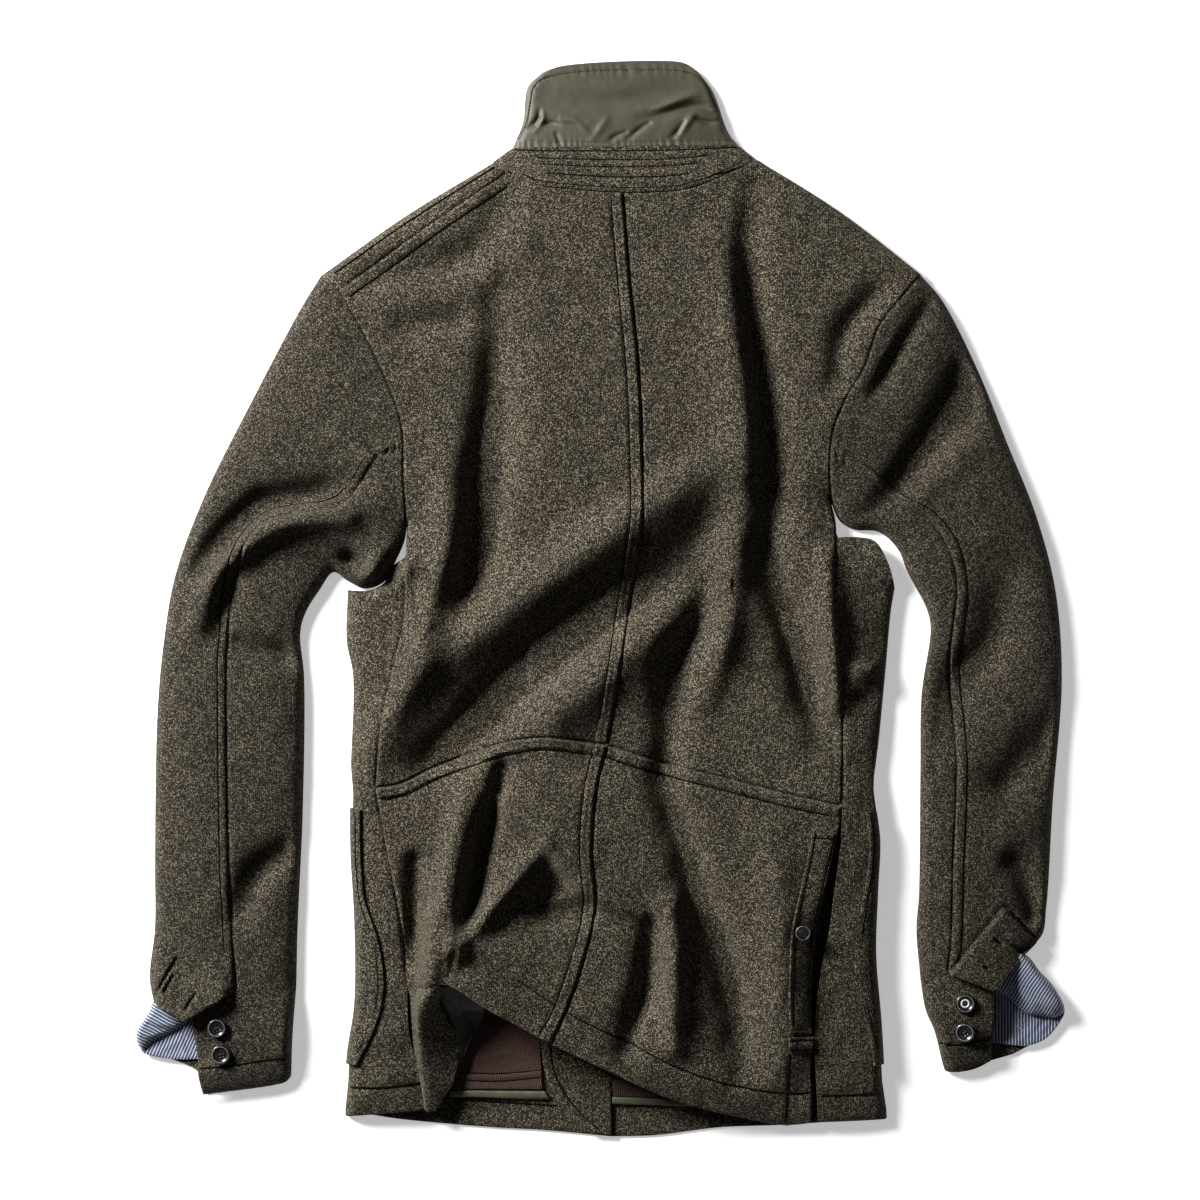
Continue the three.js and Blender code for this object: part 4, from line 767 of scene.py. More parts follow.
def makeShell(name, outer, inner, finish, nodes=None, uv=None):
    # a closed cloth piece between two grids; nodes are the CAD pieces that it stands for, by default the one of
    # its own name
    rows, cols = outer.shape[:2]
    points = np.concatenate([outer.reshape(-1, 3), inner.reshape(-1, 3)])
    quads = shellQuads(rows, cols)
    if signedVolume(points, quads) < 0:
        quads = quads[:, ::-1]
    if uv is None:
        uv = np.stack([arcs(outer, 1), arcs(outer, 0)], axis=-1)
    thing = meshFromArrays(name, points, quads, np.tile(uv.reshape(-1, 2), (2, 1)), finish)
    thing.data.set_sharp_from_angle(angle=0.9)
    declare(thing, [name.replace(".", "_")] if nodes is None else nodes)
    # the cut: mean row, mean column and area of the surface half way through the cloth, in m
    middle = (outer + inner) * mm / 2
    across, down = np.diff(middle, axis=1), np.diff(middle, axis=0)
    cells = np.linalg.norm(np.cross(across[:-1], down[:, :-1]), axis=-1)
    cut = (rowLength(middle).mean(), arcs(middle, 0)[-1].mean(), cells.sum())
    pieceCuts[name] = [float(size) for size in cut]


def insetGrid(grid, edges, amount=0.04):
    # the plan grid with the points of its named edges drawn in by amount mm
    moved = grid.copy()
    every = slice(None)
    for edge, line, beside in (("left", (every, 0), (every, 1)), ("right", (every, -1), (every, -2)),
                               ("top", (0,), (1,)), ("bottom", (-1,), (-2,))):
        if edge in edges:
            moved[line] += amount * unit(grid[beside] - grid[line])
    return moved


def dressed(x, y):
    # the upper layer's outer height with the relief of its seams
    return upper(x, y) + seamRelief(x, y)


def slopeFactor(height, x, y, step=1.5):
    # sqrt(1 + gx^2 + gy^2): how much thicker upright a sloping wall is
    gx = (height(x + step, y) - height(x - step, y)) / (2 * step)
    gy = (height(x, y + step) - height(x, y - step)) / (2 * step)
    return np.minimum(np.sqrt(1 + gx ** 2 + gy ** 2), 2.2)


def roundedEdge(outer, inner, distance, radius=1.5, least=0.3):
    # both faces run together towards a free edge: half thickness times sqrt(1 - (1 - d/radius)^2)
    share = least + (1 - least) * np.sqrt(1 - (1 - np.clip(distance / radius, 0, 1)) ** 2)
    middle = (outer + inner) / 2
    return middle + (outer - middle) * share[..., None], middle + (inner - middle) * share[..., None]


def roundEdges(outer, inner, edges, radius=1.5, least=0.3):
    # the named edges rounded one after another
    for edge in edges:
        outer, inner = roundedEdge(outer, inner, fromEdge(outer, edge), radius, least)
    return outer, inner


def sheetGrids(grid, height=dressed, thickness=cloth["wool"], floorOf=frontTop, free=()):
    # an open sheet: its outer face at height(x, y), its inner face one thickness along the normal
    x, y = grid[..., 0], grid[..., 1]
    outer = np.dstack([x, y, height(x, y)])
    smooth = np.dstack([x, y, upper(x, y) if height is dressed else height(x, y)])
    normals = gridNormals(smooth)
    normals *= np.sign(normals[..., 2:3])
    inner = smooth - normals * thickness
    if floorOf is not None:
        inner[..., 2] = np.maximum(inner[..., 2], floorOf(inner[..., 0], inner[..., 1]) + cloth["gap"])
        inner[..., 2] = np.minimum(inner[..., 2], outer[..., 2] - 0.6)
    for edge in free:
        outer, inner = roundedEdge(outer, inner, fromEdge(smooth, edge))
    return outer, inner


def plateGrids(grid, base, thickness, free=("top", "bottom", "left", "right"), relief=None):
    # a flat-lying sheet with its lower face at base(x, y)
    x, y = grid[..., 0], grid[..., 1]
    low = base(x, y)
    high = low + thickness + (0 if relief is None else relief(x, y))
    face = np.dstack([x, y, low])
    outer, inner = np.dstack([x, y, high]), face
    for edge in free:
        outer, inner = roundedEdge(outer, inner, fromEdge(face, edge), radius=min(1.5, thickness * 0.7))
    return outer, inner


def alongRows(rows, distance):
    # plan places at the given distances along each row of a plan grid
    reach = arcs(rows, 1)
    k = np.clip((reach[:, None, :] <= distance[:, :, None]).sum(axis=2) - 1, 0, rows.shape[1] - 2)
    r = np.arange(len(rows))[:, None]
    t = (distance - reach[r, k]) / np.maximum(reach[r, k + 1] - reach[r, k], 1e-6)
    return rows[r, k] + (rows[r, k + 1] - rows[r, k]) * t[..., None]


def level(x, y):
    # the floor's own height, 0 everywhere
    return np.zeros(np.shape(x))


def foldedGrids(rows, topLength, under, height=dressed, lift=pocketLift, rise=cloth["foldRise"],
                thickness=cloth["wool"], step=2.6, fineSeam=True, reach=8.5):
    # a wall folded round the edge where its rows start: on top from the seam to the edge with
    # z = middle + (height - middle)*sqrt(1 - (1 - d/reach)^2), half a turn of radius rise, then back below
    last = np.asarray(topLength)[:, None]
    roundReach = np.minimum(reach, last * 0.8)
    shares = spacing(float(np.median(topLength)) - reach, step, fineSeam, False)[::-1]
    far = roundReach + (last - roundReach) * shares[None, :]
    angle = np.linspace(np.pi / 2, 0, 11)[1:][None, :]
    nearEdge = roundReach * (1 - np.cos(angle))
    distance = np.hstack([far, nearEdge])
    curve = np.hstack([np.ones(far.shape), np.sin(angle) * np.ones((len(rows), 1))])
    place = alongRows(rows, distance)
    x, y = place[..., 0], place[..., 1]
    startBase = lift(rows[:, 0, 0], rows[:, 0, 1])[:, None]
    middle = startBase + rise
    h = height(x, y)
    plain = upper(x, y) if height is dressed else h
    k = slopeFactor(upper, x, y)
    base = lift(x, y)
    outer = [np.dstack([x, y, middle + (h - middle) * curve])]
    inDistance = distance + thickness * np.clip(1 - distance / (roundReach * 1.5), 0, 1)
    inPlace = alongRows(rows, inDistance)
    wanted = np.maximum(plain - thickness * k, base + thickness + cloth["gap"])
    inZ = middle + (wanted - middle) * curve
    inner = [np.dstack([inPlace[..., 0], inPlace[..., 1], np.minimum(inZ, outer[0][..., 2])])]
    bend = rise - thickness
    turn = np.linspace(0, np.pi / 2, 7)[1:][None, :] * np.ones((len(rows), 1))
    for made, radius in ((outer, rise), (inner, bend)):
        d = rise - radius * np.cos(turn)
        p = alongRows(rows, d)
        made.append(np.dstack([p[..., 0], p[..., 1], startBase + rise - radius * np.sin(turn)]))
    cells = np.linspace(0, 1, max(int(np.median(under) / 7), 2))[None, :]
    below = rise + 0.6 + (np.asarray(under)[:, None] - rise - 0.6) * cells
    p = alongRows(rows, below)
    z = lift(p[..., 0], p[..., 1])
    outer.append(np.dstack([p[..., 0], p[..., 1], z]))
    inner.append(np.dstack([p[..., 0], p[..., 1], z + thickness]))
    return np.hstack(outer), np.hstack(inner)


def tubeGrids(rows, wrap, height, rise, thickness, step):
    # a wall folded round both ends of its rows, such as a flattened collar
    half = rows.shape[1] // 2
    first, second = rows[:, :half + 1], rows[:, half:][:, ::-1]
    made = [foldedGrids(part, rowLength(part), np.full(len(part), wrap), height, level, rise, thickness, step,
                        fineSeam=False) for part in (first, second)]
    return tuple(np.hstack([made[0][k][:, ::-1], made[1][k][:, 1:]]) for k in (0, 1))


# back
back = {"step": 2.6, "lowStep": 1.75}


def panelGrid(left, right, top, bottom, step, edges="left right top bottom", fine=True, down=None):
    # Coons grid between four close runs, finer near its seams; down is a step of its own for the columns
    u = spacing((runLength(top) + runLength(bottom)) / 2, step, fine, fine)
    v = spacing((runLength(left) + runLength(right)) / 2, down or step, fine, fine)
    runs = [straightRun(left, v), straightRun(right, v), straightRun(top, u), straightRun(bottom, u)]
    return insetGrid(coonsGrid(*runs, u, v), edges)


def sideGrid(left, right, step, edges="", **more):
    # a grid between a left and a right run, straight at its top and bottom
    return panelGrid(left, right, straightRun([left[0], right[0]]), straightRun([left[-1], right[-1]]),
                     step, edges, **more)


def bandGrid(top, bottom, step, **more):
    # a grid between a top and a bottom run, straight at its sides
    return panelGrid(straightRun([top[0], bottom[0]]), straightRun([top[-1], bottom[-1]]), top, bottom,
                     step, "", **more)


def cornerGrid(corners, step):
    # a grid between four corners, from the upper left one clockwise
    a, b, c, d = corners
    return bandGrid(straightRun([a, b]), straightRun([d, c]), step)


neck = smoothRun(neckLine)
seamTop = int(np.argmin(np.abs(neck[:, 0] - backSeamUpper[0][0])))
centreUpper = smoothRun(backSeamUpper)
centreUpper[0] = neck[seamTop]
sideLeftRun = joinedRun(armLeft, sideSeamLeft)
sideRightRun = joinedRun(armRight, sideSeamRight)
topLeft = np.vstack([smoothRun(shoulderSeamLeft), neck[1:seamTop + 1]])
topRight = np.vstack([neck[seamTop:], smoothRun(shoulderRight)[1:]])


def buildBack():
    upperLeft = panelGrid(sideLeftRun, centreUpper, topLeft, smoothRun(waistLeft), back["step"])
    makeShell("back.upper.left", *sheetGrids(upperLeft), "wool")
    upperRight = panelGrid(centreUpper, sideRightRun, topRight, smoothRun(waistRight), back["step"])
    makeShell("back.upper.right", *sheetGrids(upperRight), "wool")
    lowerLeft = panelGrid(smoothRun(sideSeamLeftLow), smoothRun(backSeamLower),
                          smoothRun(waistLeft), smoothRun(backHemLeft), back["lowStep"])
    outer, inner = sheetGrids(lowerLeft)
    # its hem is rounded, but not where the turned hem goes on from it
    d = fromEdge(outer, "bottom") + 3 * ease((-118 - outer[..., 0]) / 5)
    makeShell("back.lower.left", *roundedEdge(outer, inner, d), "wool")
    lowerRight = panelGrid(smoothRun(backSeamLower), smoothRun(ventEdge),
                           smoothRun(waistRight), smoothRun(backHemRight), back["lowStep"])
    makeShell("back.lower.right", *sheetGrids(lowerRight, free=("bottom", "right")), "wool")


buildBack()
print("back panels")

# side panels, folded round to the underside
sides = {"wrap": 14.0, "step": 2.5}
restOf = lambda points, share: smoothRun(points, np.linspace(share, 1, 90))
seamSideLeft = np.vstack([restOf(sideSeamLeft, 0.125), smoothRun(sideSeamLeftLow)[1:],
                          smoothRun(panelEdgeLeft)[1:]])
seamSideRight = np.vstack([restOf(sideSeamRight, 0.125), smoothRun(panelEdgeRight)[1:]])


def sideRows(outline, seam, armpit, hem, inward):
    # rows from the outline to the seam; the outline is drawn in where a patch pocket lies over it
    edge = smoothRun(outline, 300)
    edge[:, 0] += inward * pocketLift(edge[:, 0] - inward * 0.01, edge[:, 1])
    return panelGrid(edge, seam, smoothRun(armpit), smoothRun(hem), sides["step"], "right top bottom")


armpitLeft = [[-196, 7], [-182, 6.2], [-168, 12], [-160.5, 26], list(seamSideLeft[0])]
armpitRight = [[229, 8], [223, 28], [213, 45], [200, 48], list(seamSideRight[0])]
rowsSideLeft = sideRows(sideLeft, seamSideLeft, armpitLeft, [[-198, -402], [-118, -394]], 1)
rowsSideRight = sideRows(sideRight, seamSideRight, armpitRight, [[223, -404], [169, -406]], -1)


def buildSides():
    for side, rows in (("left", rowsSideLeft), ("right", rowsSideRight)):
        outer, inner = foldedGrids(rows, rowLength(rows), np.full(len(rows), sides["wrap"]), step=sides["step"])
        outer, inner = roundEdges(outer, inner, ["bottom"], radius=1.3)
        makeShell(f"side.panel.{side}", outer, inner, "wool", [f"side_{side}"])


buildSides()
print("side panels")

# sleeves: an upper and an under sleeve, each folded round one edge
sleeve = {"step": 2.6, "hiddenShare": 0.625, "endStep": 1.15, "endLength": 96.0}
flaps = {"leftLift": 9.5, "rightLift": 3.2, "rightTip": 4.5, "rightCorner": (312.5, -238.5)}


def slits(rows):
    # cuts and buttonholes: -depth*exp(-(d/1.25)^2) with a worked rim of rim mm, 2.3 mm beside the cut
    made = [(depth, rim, smoothRun(path, 12)) for depth, rim, path in rows]

    def relief(x, y):
        total = np.zeros(np.shape(x))
        for depth, rim, run in made:
            d = nearestOn(x, y, run)[0]
            total += rim * bell(d - 2.3, 0.9) - depth * bell(d, 1.25)
        return total
    return relief


slitsLeft = slits([(3.2, 0.2, [[-327.8, -278.5], [-338, -296], [-346.8, -312]]),
                   (3.0, 0.6, [[-330, -291.5], [-336.6, -303.6]]),
                   (3.0, 0.6, [[-312.2, -305.2], [-319.2, -316]])])
slitsRight = slits([(3.0, 0.6, [[305.4, -262.6], [310.6, -268]]), (2.6, 0.6, [[297, -284], [302.6, -289.2]]),
                    (2.2, 0.25, [[299.6, -256.2], [313, -264], [327.6, -273.6]])])
flapEdgeLeft = np.array([[-349, -310], [-338, -319], [-325.7, -326.3], [-303, -315], [-281, -303.4]])
flapEdgeRight = np.array([[268.8, -291], [286, -297], [304.5, -304]])


def endLeft(x, y):
    # the flap lifts towards its lower edge and falls off to the seam at its inner corner
    d = nearestOn(x, y, flapEdgeLeft)[0]
    lift = flaps["leftLift"] * (1 - ease(d / 36)) * ease((-280.5 - x) / 13) * ease((x + 352) / 16)
    return dressed(x, y) + lift + slitsLeft(x, y) * ease((-240 - y) / 8)


def endRight(x, y):
    # a turned rectangle: full lift inside its upper left edge and its top edge, more at its lower edge
    cornerX, cornerY = flaps["rightCorner"]
    inLeft = (x - cornerX) * 0.774 - (y - cornerY) * 0.632
    inTop = -(x - cornerX) * 0.711 - (y - cornerY) * 0.702
    inside = ease((inLeft + 0.3) / 1.9) * ease((inTop + 0.3) / 2.1)
    tip = flaps["rightTip"] * (1 - ease(nearestOn(x, y, flapEdgeRight)[0] / 26))
    rim = -1.3 * bell(inLeft + 1.1, 1.4) * ease((inTop + 3) / 4) * ease((y + 296) / 8)
    rim = rim - 2.4 * bell(inTop + 1.1, 1.3) * ease((inLeft + 2) / 3)
    return dressed(x, y) + inside * (flaps["rightLift"] + tip + slitsRight(x, y)) + rim


def buildSleeve(side, outline, seamPoints, innerPoints, arm, split, endOuter, lead, height):
    # split is the share of the armhole that the upper sleeve takes; with lead its run starts at the outline
    armUpper = smoothRun(arm, np.linspace(0, split, 120))
    armUpper = np.vstack([[outline[0]], armUpper]) if lead else armUpper
    armLower = smoothRun(arm, np.linspace(1, split, 90))
    seam = smoothRun([list(armUpper[-1])] + seamPoints[1:], 300)
    long = runLength(seam)
    start = 1 - sleeve["endLength"] / long
    v = spacing(long * start, sleeve["step"], True, False) * start
    v = np.concatenate([v, np.linspace(start, 1, int(sleeve["endLength"] / sleeve["endStep"]))[1:]])
    u = spacing(62, 2.0, True, True)
    runs = (smoothRun(outline, v), straightRun(seam, v), straightRun(armUpper, u), straightRun(endOuter, u))
    upperRows = insetGrid(coonsGrid(*runs, u, v), "right top bottom")
    lowerRows = panelGrid(smoothRun(innerPoints, 300), seam, armLower,
                          straightRun([innerPoints[-1], seamPoints[-1]]), sleeve["step"], "right top")
    # both halves use the upper sleeve's row spacing, so that they meet along the hidden seam
    v = np.linspace(0, 1, len(upperRows))
    w = np.linspace(0, 1, len(lowerRows))
    lowerRows = np.stack([np.stack([np.interp(v, w, lowerRows[:, j, k]) for k in (0, 1)], axis=1)
                          for j in range(lowerRows.shape[1])], axis=1)
    long = rowLength(upperRows)
    outer, inner = foldedGrids(upperRows, long, long * sleeve["hiddenShare"] - 0.2, height=height, step=2.0)
    outer, inner = roundEdges(outer, inner, ["bottom"], radius=1.4)
    makeShell(f"sleeve.upper.{side}", outer, inner, "woolShadedSleeve")
    shares = np.linspace(1, sleeve["hiddenShare"], 14)[1:]
    tail = alongRows(upperRows, long[:, None] * shares[None, :])
    wide = np.hstack([lowerRows, tail])
    outer, inner = foldedGrids(wide, rowLength(lowerRows), rowLength(wide) - 0.2, step=sleeve["step"])
    makeShell(f"sleeve.under.{side}", outer, inner, "woolShadedSleeve")


buildSleeve("left", sleeveOuterLeft, sleeveSeamLeft, sleeveInnerLeft, armLeft, 7 / 11,
            [[-347, -313], [-320, -326], [-281, -303]], True, endLeft)
buildSleeve("right", sleeveOuterRight, sleeveSeamRight, sleeveInnerRight, armRight, 8 / 11,
            [[327, -274], [305, -303], [269, -290]], False, endRight)
print("sleeves")

# relief helpers: creases, grooves and rows of stitching on one piece
def creases(rows):
    # height change from rows of half width, sharpness p and [[x, y, height], ...]:
    # the sum of height*exp(-(d/width)^p)
    made = [(width, power, smoothRun(path, 6 * len(path))) for width, power, path in rows]

    def relief(x, y):
        total = np.zeros(np.shape(x))
        for width, power, run in made:
            near = nearRun(x, y, run, 3 * width)
            if near.any():
                d, side, place, height = nearestOn(x[near], y[near], run)
                total[near] += height * np.exp(-(d / width) ** power)
        return total
    return relief


stitchLength = 3.4


def stitchRows(runs, depth=0.55, width=0.85):
    # dented rows of stitching: -depth*exp(-(d/width)^2), a little deeper at each stitch, fading at both ends
    made = [smoothRun(run, 50) for run in runs]

    def relief(x, y):
        total = np.zeros(np.shape(x))
        for run in made:
            near = nearRun(x, y, run, 4)
            if near.any():
                d, side, place = nearestOn(x[near], y[near], run)[:3]
                ends = ease((place + 0.01) / 4) * ease((runLength(run) - place + 0.01) / 4)
                pull = 0.8 + 0.2 * np.cos(2 * np.pi * place / stitchLength)
                total[near] -= depth * pull * bell(d, width) * ends
        return total
    return relief


def withRelief(height, *reliefs):
    # a height with one or more reliefs added to it
    return lambda x, y: height(x, y) + sum(relief(x, y) for relief in reliefs)


def byIndex(points, v):
    # a run read at shares of its number of points
    p = np.asarray(points, dtype=float)
    place = sharesOf(v) * (len(p) - 1)
    return np.stack([np.interp(place, np.arange(len(p)), p[:, k]) for k in range(p.shape[1])], axis=1)


def sheetBetween(outer, thickness):
    # the inner grid of a thin sheet: one thickness along the normal, below the outer grid
    normals = gridNormals(outer)
    normals *= np.where(normals[..., 2:3] < -0.2, -1.0, 1.0)
    return outer - normals * thickness


def makeCords(name, paths, radius, finish):
    # fine cords of four sides along paths (n, points, 3), closed at both ends: the path's own point plus
    # radius*(cos(turn)*side + sin(turn)*up)
    paths = np.asarray(paths, dtype=float)
    n, m = paths.shape[:2]
    along = unit(np.gradient(paths, axis=1))
    side = unit(np.cross(along, [0, 0, 1.0]))
    up = np.cross(side, along)
    turn = np.arange(4) * np.pi / 2 + np.pi / 4
    across = np.cos(turn)[:, None] * side[:, :, None] + np.sin(turn)[:, None] * up[:, :, None]
    ring = paths[:, :, None] + radius * across
    points = ring.reshape(-1, 3)
    base = (np.arange(n) * m * 4)[:, None, None]
    seg, k = np.arange(m - 1)[None, :, None] * 4, np.arange(4)[None, None, :]
    a = base + seg + k
    b = base + seg + (k + 1) % 4
    quads = np.stack([a, b, b + 4, a + 4], axis=-1).reshape(-1, 4)
    ends = np.vstack([base[:, 0] + np.arange(4)[::-1], base[:, 0] + (m - 1) * 4 + np.arange(4)])
    quads = np.vstack([quads, ends])
    if signedVolume(points, quads) < 0:
        quads = quads[:, ::-1]
    thing = meshFromArrays(name, points, quads, points[:, :2], finish)
    declare(thing, [])


def sewnLines(name, runs, height, finish="thread", pitch=2.9, radius=0.62, share=0.93):
    # stitches along runs: short arched cords, each share of the pitch long, lying on the height
    made = []
    for points in runs:
        run = smoothRun(points, 200)[:, :2]
        count = max(int(runLength(run) / pitch), 1)
        t = (np.arange(count)[:, None] + 0.5 + share * np.array([-0.5, -0.25, 0.25, 0.5])[None, :]) / count
        p = straightRun(run, t.ravel())
        z = height(p[:, 0], p[:, 1]).reshape(count, 4) - 0.45 * radius + np.array([-0.15, 0.0, 0.0, -0.15])
        made.append(np.dstack([p.reshape(count, 4, 2), z]))
    makeCords(name, np.concatenate(made), radius, finish)


# shoulder strip, collar stand and collar
collarCut = {
    "wrap": 46.0, "standStep": 1.35, "leafStep": 1.05, "shoulderWrap": 11.0,
    "standTop": [[-69, 349.8], [19, 350.9], [108, 351.9]], "standEnds": [[-83.4, 339.6], [122, 341]],
    "left": [[-68, 350], [-60, 370], [-56, 398], [-45, 409]],
    "right": [[108, 352], [100, 362], [88, 394], [78, 408]],
    "top": [[-45, 409], [-29, 414], [44, 418], [66, 416], [78, 408]],
}
shoulderRows = sideGrid(smoothRun(shoulderLeft), smoothRun(shoulderSeamLeft), 1.8, "right top bottom")
leafCreases = creases([
    (4.0, 1.7, [[30, 372, -0.5], [49, 376.6, -2.6], [64, 381, -3.0], [78, 382.5, -2.6], [88, 378, -1.2]]),
    (3.0, 2.0, [[42, 379, 0.6], [50, 382, 1.8], [61, 386.5, 2.0], [74, 391, 0.6]]),
    (2.0, 1.6, [[74, 373, -1.6], [84, 370, -2.6], [91, 370, -1.0]]),
    (1.9, 1.6, [[65, 369, -1.6], [60, 362, -2.5], [55, 358, -1.0]]),
    (2.5, 2.0, [[73, 375, 1.0], [66, 367, 2.0], [61, 359, 0.6]]),
    (1.8, 1.6, [[38, 369, -1.0], [29, 363, -2.0], [22, 357, -0.8]]),
    (1.6, 1.6, [[20, 362, -1.0], [11, 358, -1.8], [7, 355, -0.6]]),
    (2.2, 2.0, [[-30, 372, 0.5], [-19, 370.7, 0.9], [-9, 361, 0.3]]),
    (1.7, 1.6, [[-47, 379, -0.8], [-48.5, 372, -2.4], [-55, 366, -1.2]]),
    (2.2, 2.0, [[-44, 377, 0.6], [-44.5, 371, 1.6], [-50, 363, 0.6]]),
    (2.4, 1.8, [[-49, 366.5, -0.8], [-38, 369, -1.6], [-33, 368, -0.6]]),
    (1.3, 1.8, [[-34, 361, -0.8], [-32, 354, -1.4]]),
    (2.6, 2.0, [[5, 372, 0.5], [0, 364, 0.9], [-6, 356, 0.4]]),
    (9.0, 2.0, [[-40, 390, -0.5], [10, 386, -1.2], [60, 398, -0.6]]),
    (7.0, 2.0, [[-30, 398, 0.4], [20, 396, 0.9], [60, 402, 0.3]]),
])
leafStitch = [[-64.5, 357], [-58, 368], [-54.3, 386], [-52, 396.5], [-47, 402], [-41, 404.7], [-18.8, 409],
              [40.5, 410.7], [66, 409.5], [76, 405.5], [82, 399], [88, 384], [94, 370], [101, 358.5]]
leafRows = stitchRows([leafStitch, [[-64, 354.6], [0, 353.4], [50, 354], [105, 355]]], depth=0.55, width=0.9)


def leafPuckers(x, y):
    # short gathers at right angles to the stitching: a sine along it that dies away to both sides
    top = smoothRun(leafStitch, 60)
    low = smoothRun([[-67, 352.5], [0, 351.8], [50, 352.4], [107, 353.4]], 40)
    total = np.zeros(np.shape(x))
    for run, tall, wave, fall in ((top, 0.26, 7.3, 4.4), (low, 0.40, 5.1, 4.0)):
        d, side, place = nearestOn(x, y, run)[:3]
        phase = 2 * np.pi * place / wave + 2.6 * np.sin(place / 7.9) + 1.9 * np.sin(place / 17.3 + 1.0)
        strength = 0.5 + 0.5 * np.sin(place / 9.1 + 0.6) * np.sin(place / 21.0 + 2.0)
        total += tall * strength * np.sin(phase + 0.12 * d * side) * bell(d, fall)
    return total


def collarAir(x, y):
    # pressed flat at its sides, with a little air in the middle that closes towards the top edge; it takes
    # the back's own height at the neck seam
    middle = 1 - np.minimum(np.abs(x - 19) / 96, 1) ** 3
    own = 6 + 5 * middle * ease((424 - y) / 70)
    share = ease((358 - y) / 38)
    return own * (1 - share) + upper(x, y) * share


standLines = []


def buildCollar():
    c = collarCut
    under = np.full(len(shoulderRows), c["shoulderWrap"])
    height = withRelief(dressed, stitchRows([[[-211, 249], [-150, 291.5], [-78, 337]]]))
    outer, inner = foldedGrids(shoulderRows, rowLength(shoulderRows), under, height, step=1.6)
    makeShell("front.shoulder.left", outer, inner, "wool")
    leftEnd, rightEnd = c["standEnds"]
    bottom = np.vstack([[leftEnd], neck])
    top = smoothRun(c["standTop"])
    standGrid = panelGrid(straightRun([top[0], leftEnd]), straightRun([top[-1], rightEnd]), top, bottom,
                          c["standStep"], "", fine=False, down=0.5)
    between = lambda share, a, b: straightRun(top * (1 - share) + straightRun(bottom) * share,
                                              np.linspace(a, b, 14))
    lines = [between(0.10, 0.02, 0.98), between(0.30, 0.12, 0.86), between(0.46, 0.16, 0.80),
             between(0.68, 0.2, 0.76)]
    standLines.extend(line.tolist() for line in lines)
    relief = stitchRows(lines, depth=0.75, width=1.0)
    puff = creases([(2.6, 2, np.column_stack([between(s, 0.2, 0.78), np.full(14, 0.45)]))
                    for s in (0.2, 0.38, 0.57)])
    piping = creases([(1.1, 2.4, np.column_stack([straightRun(bottom, np.linspace(0.1, 0.97, 40)) + [0, 2.0],
                                                  np.full(40, 0.7)]))])
    outer, inner = tubeGrids(standGrid, c["wrap"], withRelief(collarAir, relief, puff, piping), 2.9, 2.5,
                             step=c["standStep"])
    makeShell("collar.stand", outer, inner, "woolTurned")
    leaf = panelGrid(smoothRun(c["left"][::-1]), smoothRun(c["right"][::-1]),
                     smoothRun(c["top"]), straightRun([[-68, 350], [108, 352]]), c["leafStep"], "")
    height = withRelief(collarAir, leafCreases, leafRows, leafPuckers)
    outer, inner = tubeGrids(leaf, c["wrap"], height, 2.6, cloth["thin"], step=c["leafStep"])
    outer, inner = roundEdges(outer, inner, ["top"], radius=1.6, least=0.4)
    makeShell("collar.leaf", outer, inner, "nylon", ["collar"])


buildCollar()
print("collar")

# fronts and facing
frontCut = {"centre": 9.0, "clear": 16.0,
            "across": 64, "length": 840, "fineFrom": 0.74, "fine": 1.9, "coarse": 34,
            "facing": {"across": 34, "length": 720, "fineFrom": 0.80, "fine": 1.5, "coarse": 30}}
facingEdge = [[-44, 306], [-46, 200], [-46, 0], [-47, -300], [-45.6, -345], [-43, -367], [-34, -387], [-20, -404],
              [-7, -415.4]]
overFront = lambda x, y: cloth["wool"] + pocketLift(x, y) + facing["gap"]


def frontSide(rows, outward):
    # the edge of a front from the underarm down the side, clear of the side panel's turned part
    first = rows[0]
    long = rowLength(rows[:1])[0]
    turned = [alongRows(rows[:1], np.array([[share * long]]))[0, 0] - [0, 1.6] for share in (0.82, 0.55)]
    picked = rows[np.linspace(0, len(rows) - 1, 12).astype(int)]
    down = alongRows(picked, np.full((len(picked), 1), frontCut["clear"]))[:, 0]
    down[0, 1] -= 1.6
    return np.vstack([[first[-1] + [outward, 0]], turned, down])


def finerBelow(cut):
    # shares down a front: coarse ones first, then steps of about the cut's fine mm from its share fineFrom on
    start = cut["fineFrom"]
    many = max(int((1 - start) * cut["length"] / cut["fine"]), 4)
    return np.concatenate([np.linspace(0, start, cut["coarse"])[:-1], np.linspace(start, 1, many)])


def buildFront(name, left, right, top, hem, edges, relief=None):
    # one front flat on the floor, lifted where a patch pocket lies under it
    u, v = np.linspace(0, 1, frontCut["across"]), finerBelow(frontCut)
    grid = coonsGrid(byIndex(left, v), byIndex(right, v), byIndex(top, u), straightRun(hem, u), u, v)
    makeShell(name, *plateGrids(insetGrid(grid, edges), pocketLift, cloth["wool"], relief=relief), "wool")


def buildFacing():
    # the right front's facing, lying on the left front
    f = frontCut["facing"]
    u, v = np.linspace(0, 1, f["across"]), finerBelow(f)
    grid = coonsGrid(smoothRun(facingEdge, v), straightRun([[1, 306], [9, -300], [9, -416.6]], v),
                     straightRun([[-44, 306], [1, 306]], u), straightRun([[-7, -415.4], [9, -416.6]], u), u, v)
    low = np.array(facingEdge[3:])
    inside = (low + [6.5, 3.0]).tolist()
    swell = creases([(3.0, 2, np.column_stack([low + [3.0, 1.5], np.full(len(low), 0.35)]))])
    made = plateGrids(grid, overFront, cloth["wool"], relief=withRelief(swell, stitchRows([inside], depth=0.5)))
    makeShell("front.facing", *made, "woolTurned")
    sewnLines("stitches.facing", [inside], lambda x, y: overFront(x, y) + cloth["wool"] + 0.4)


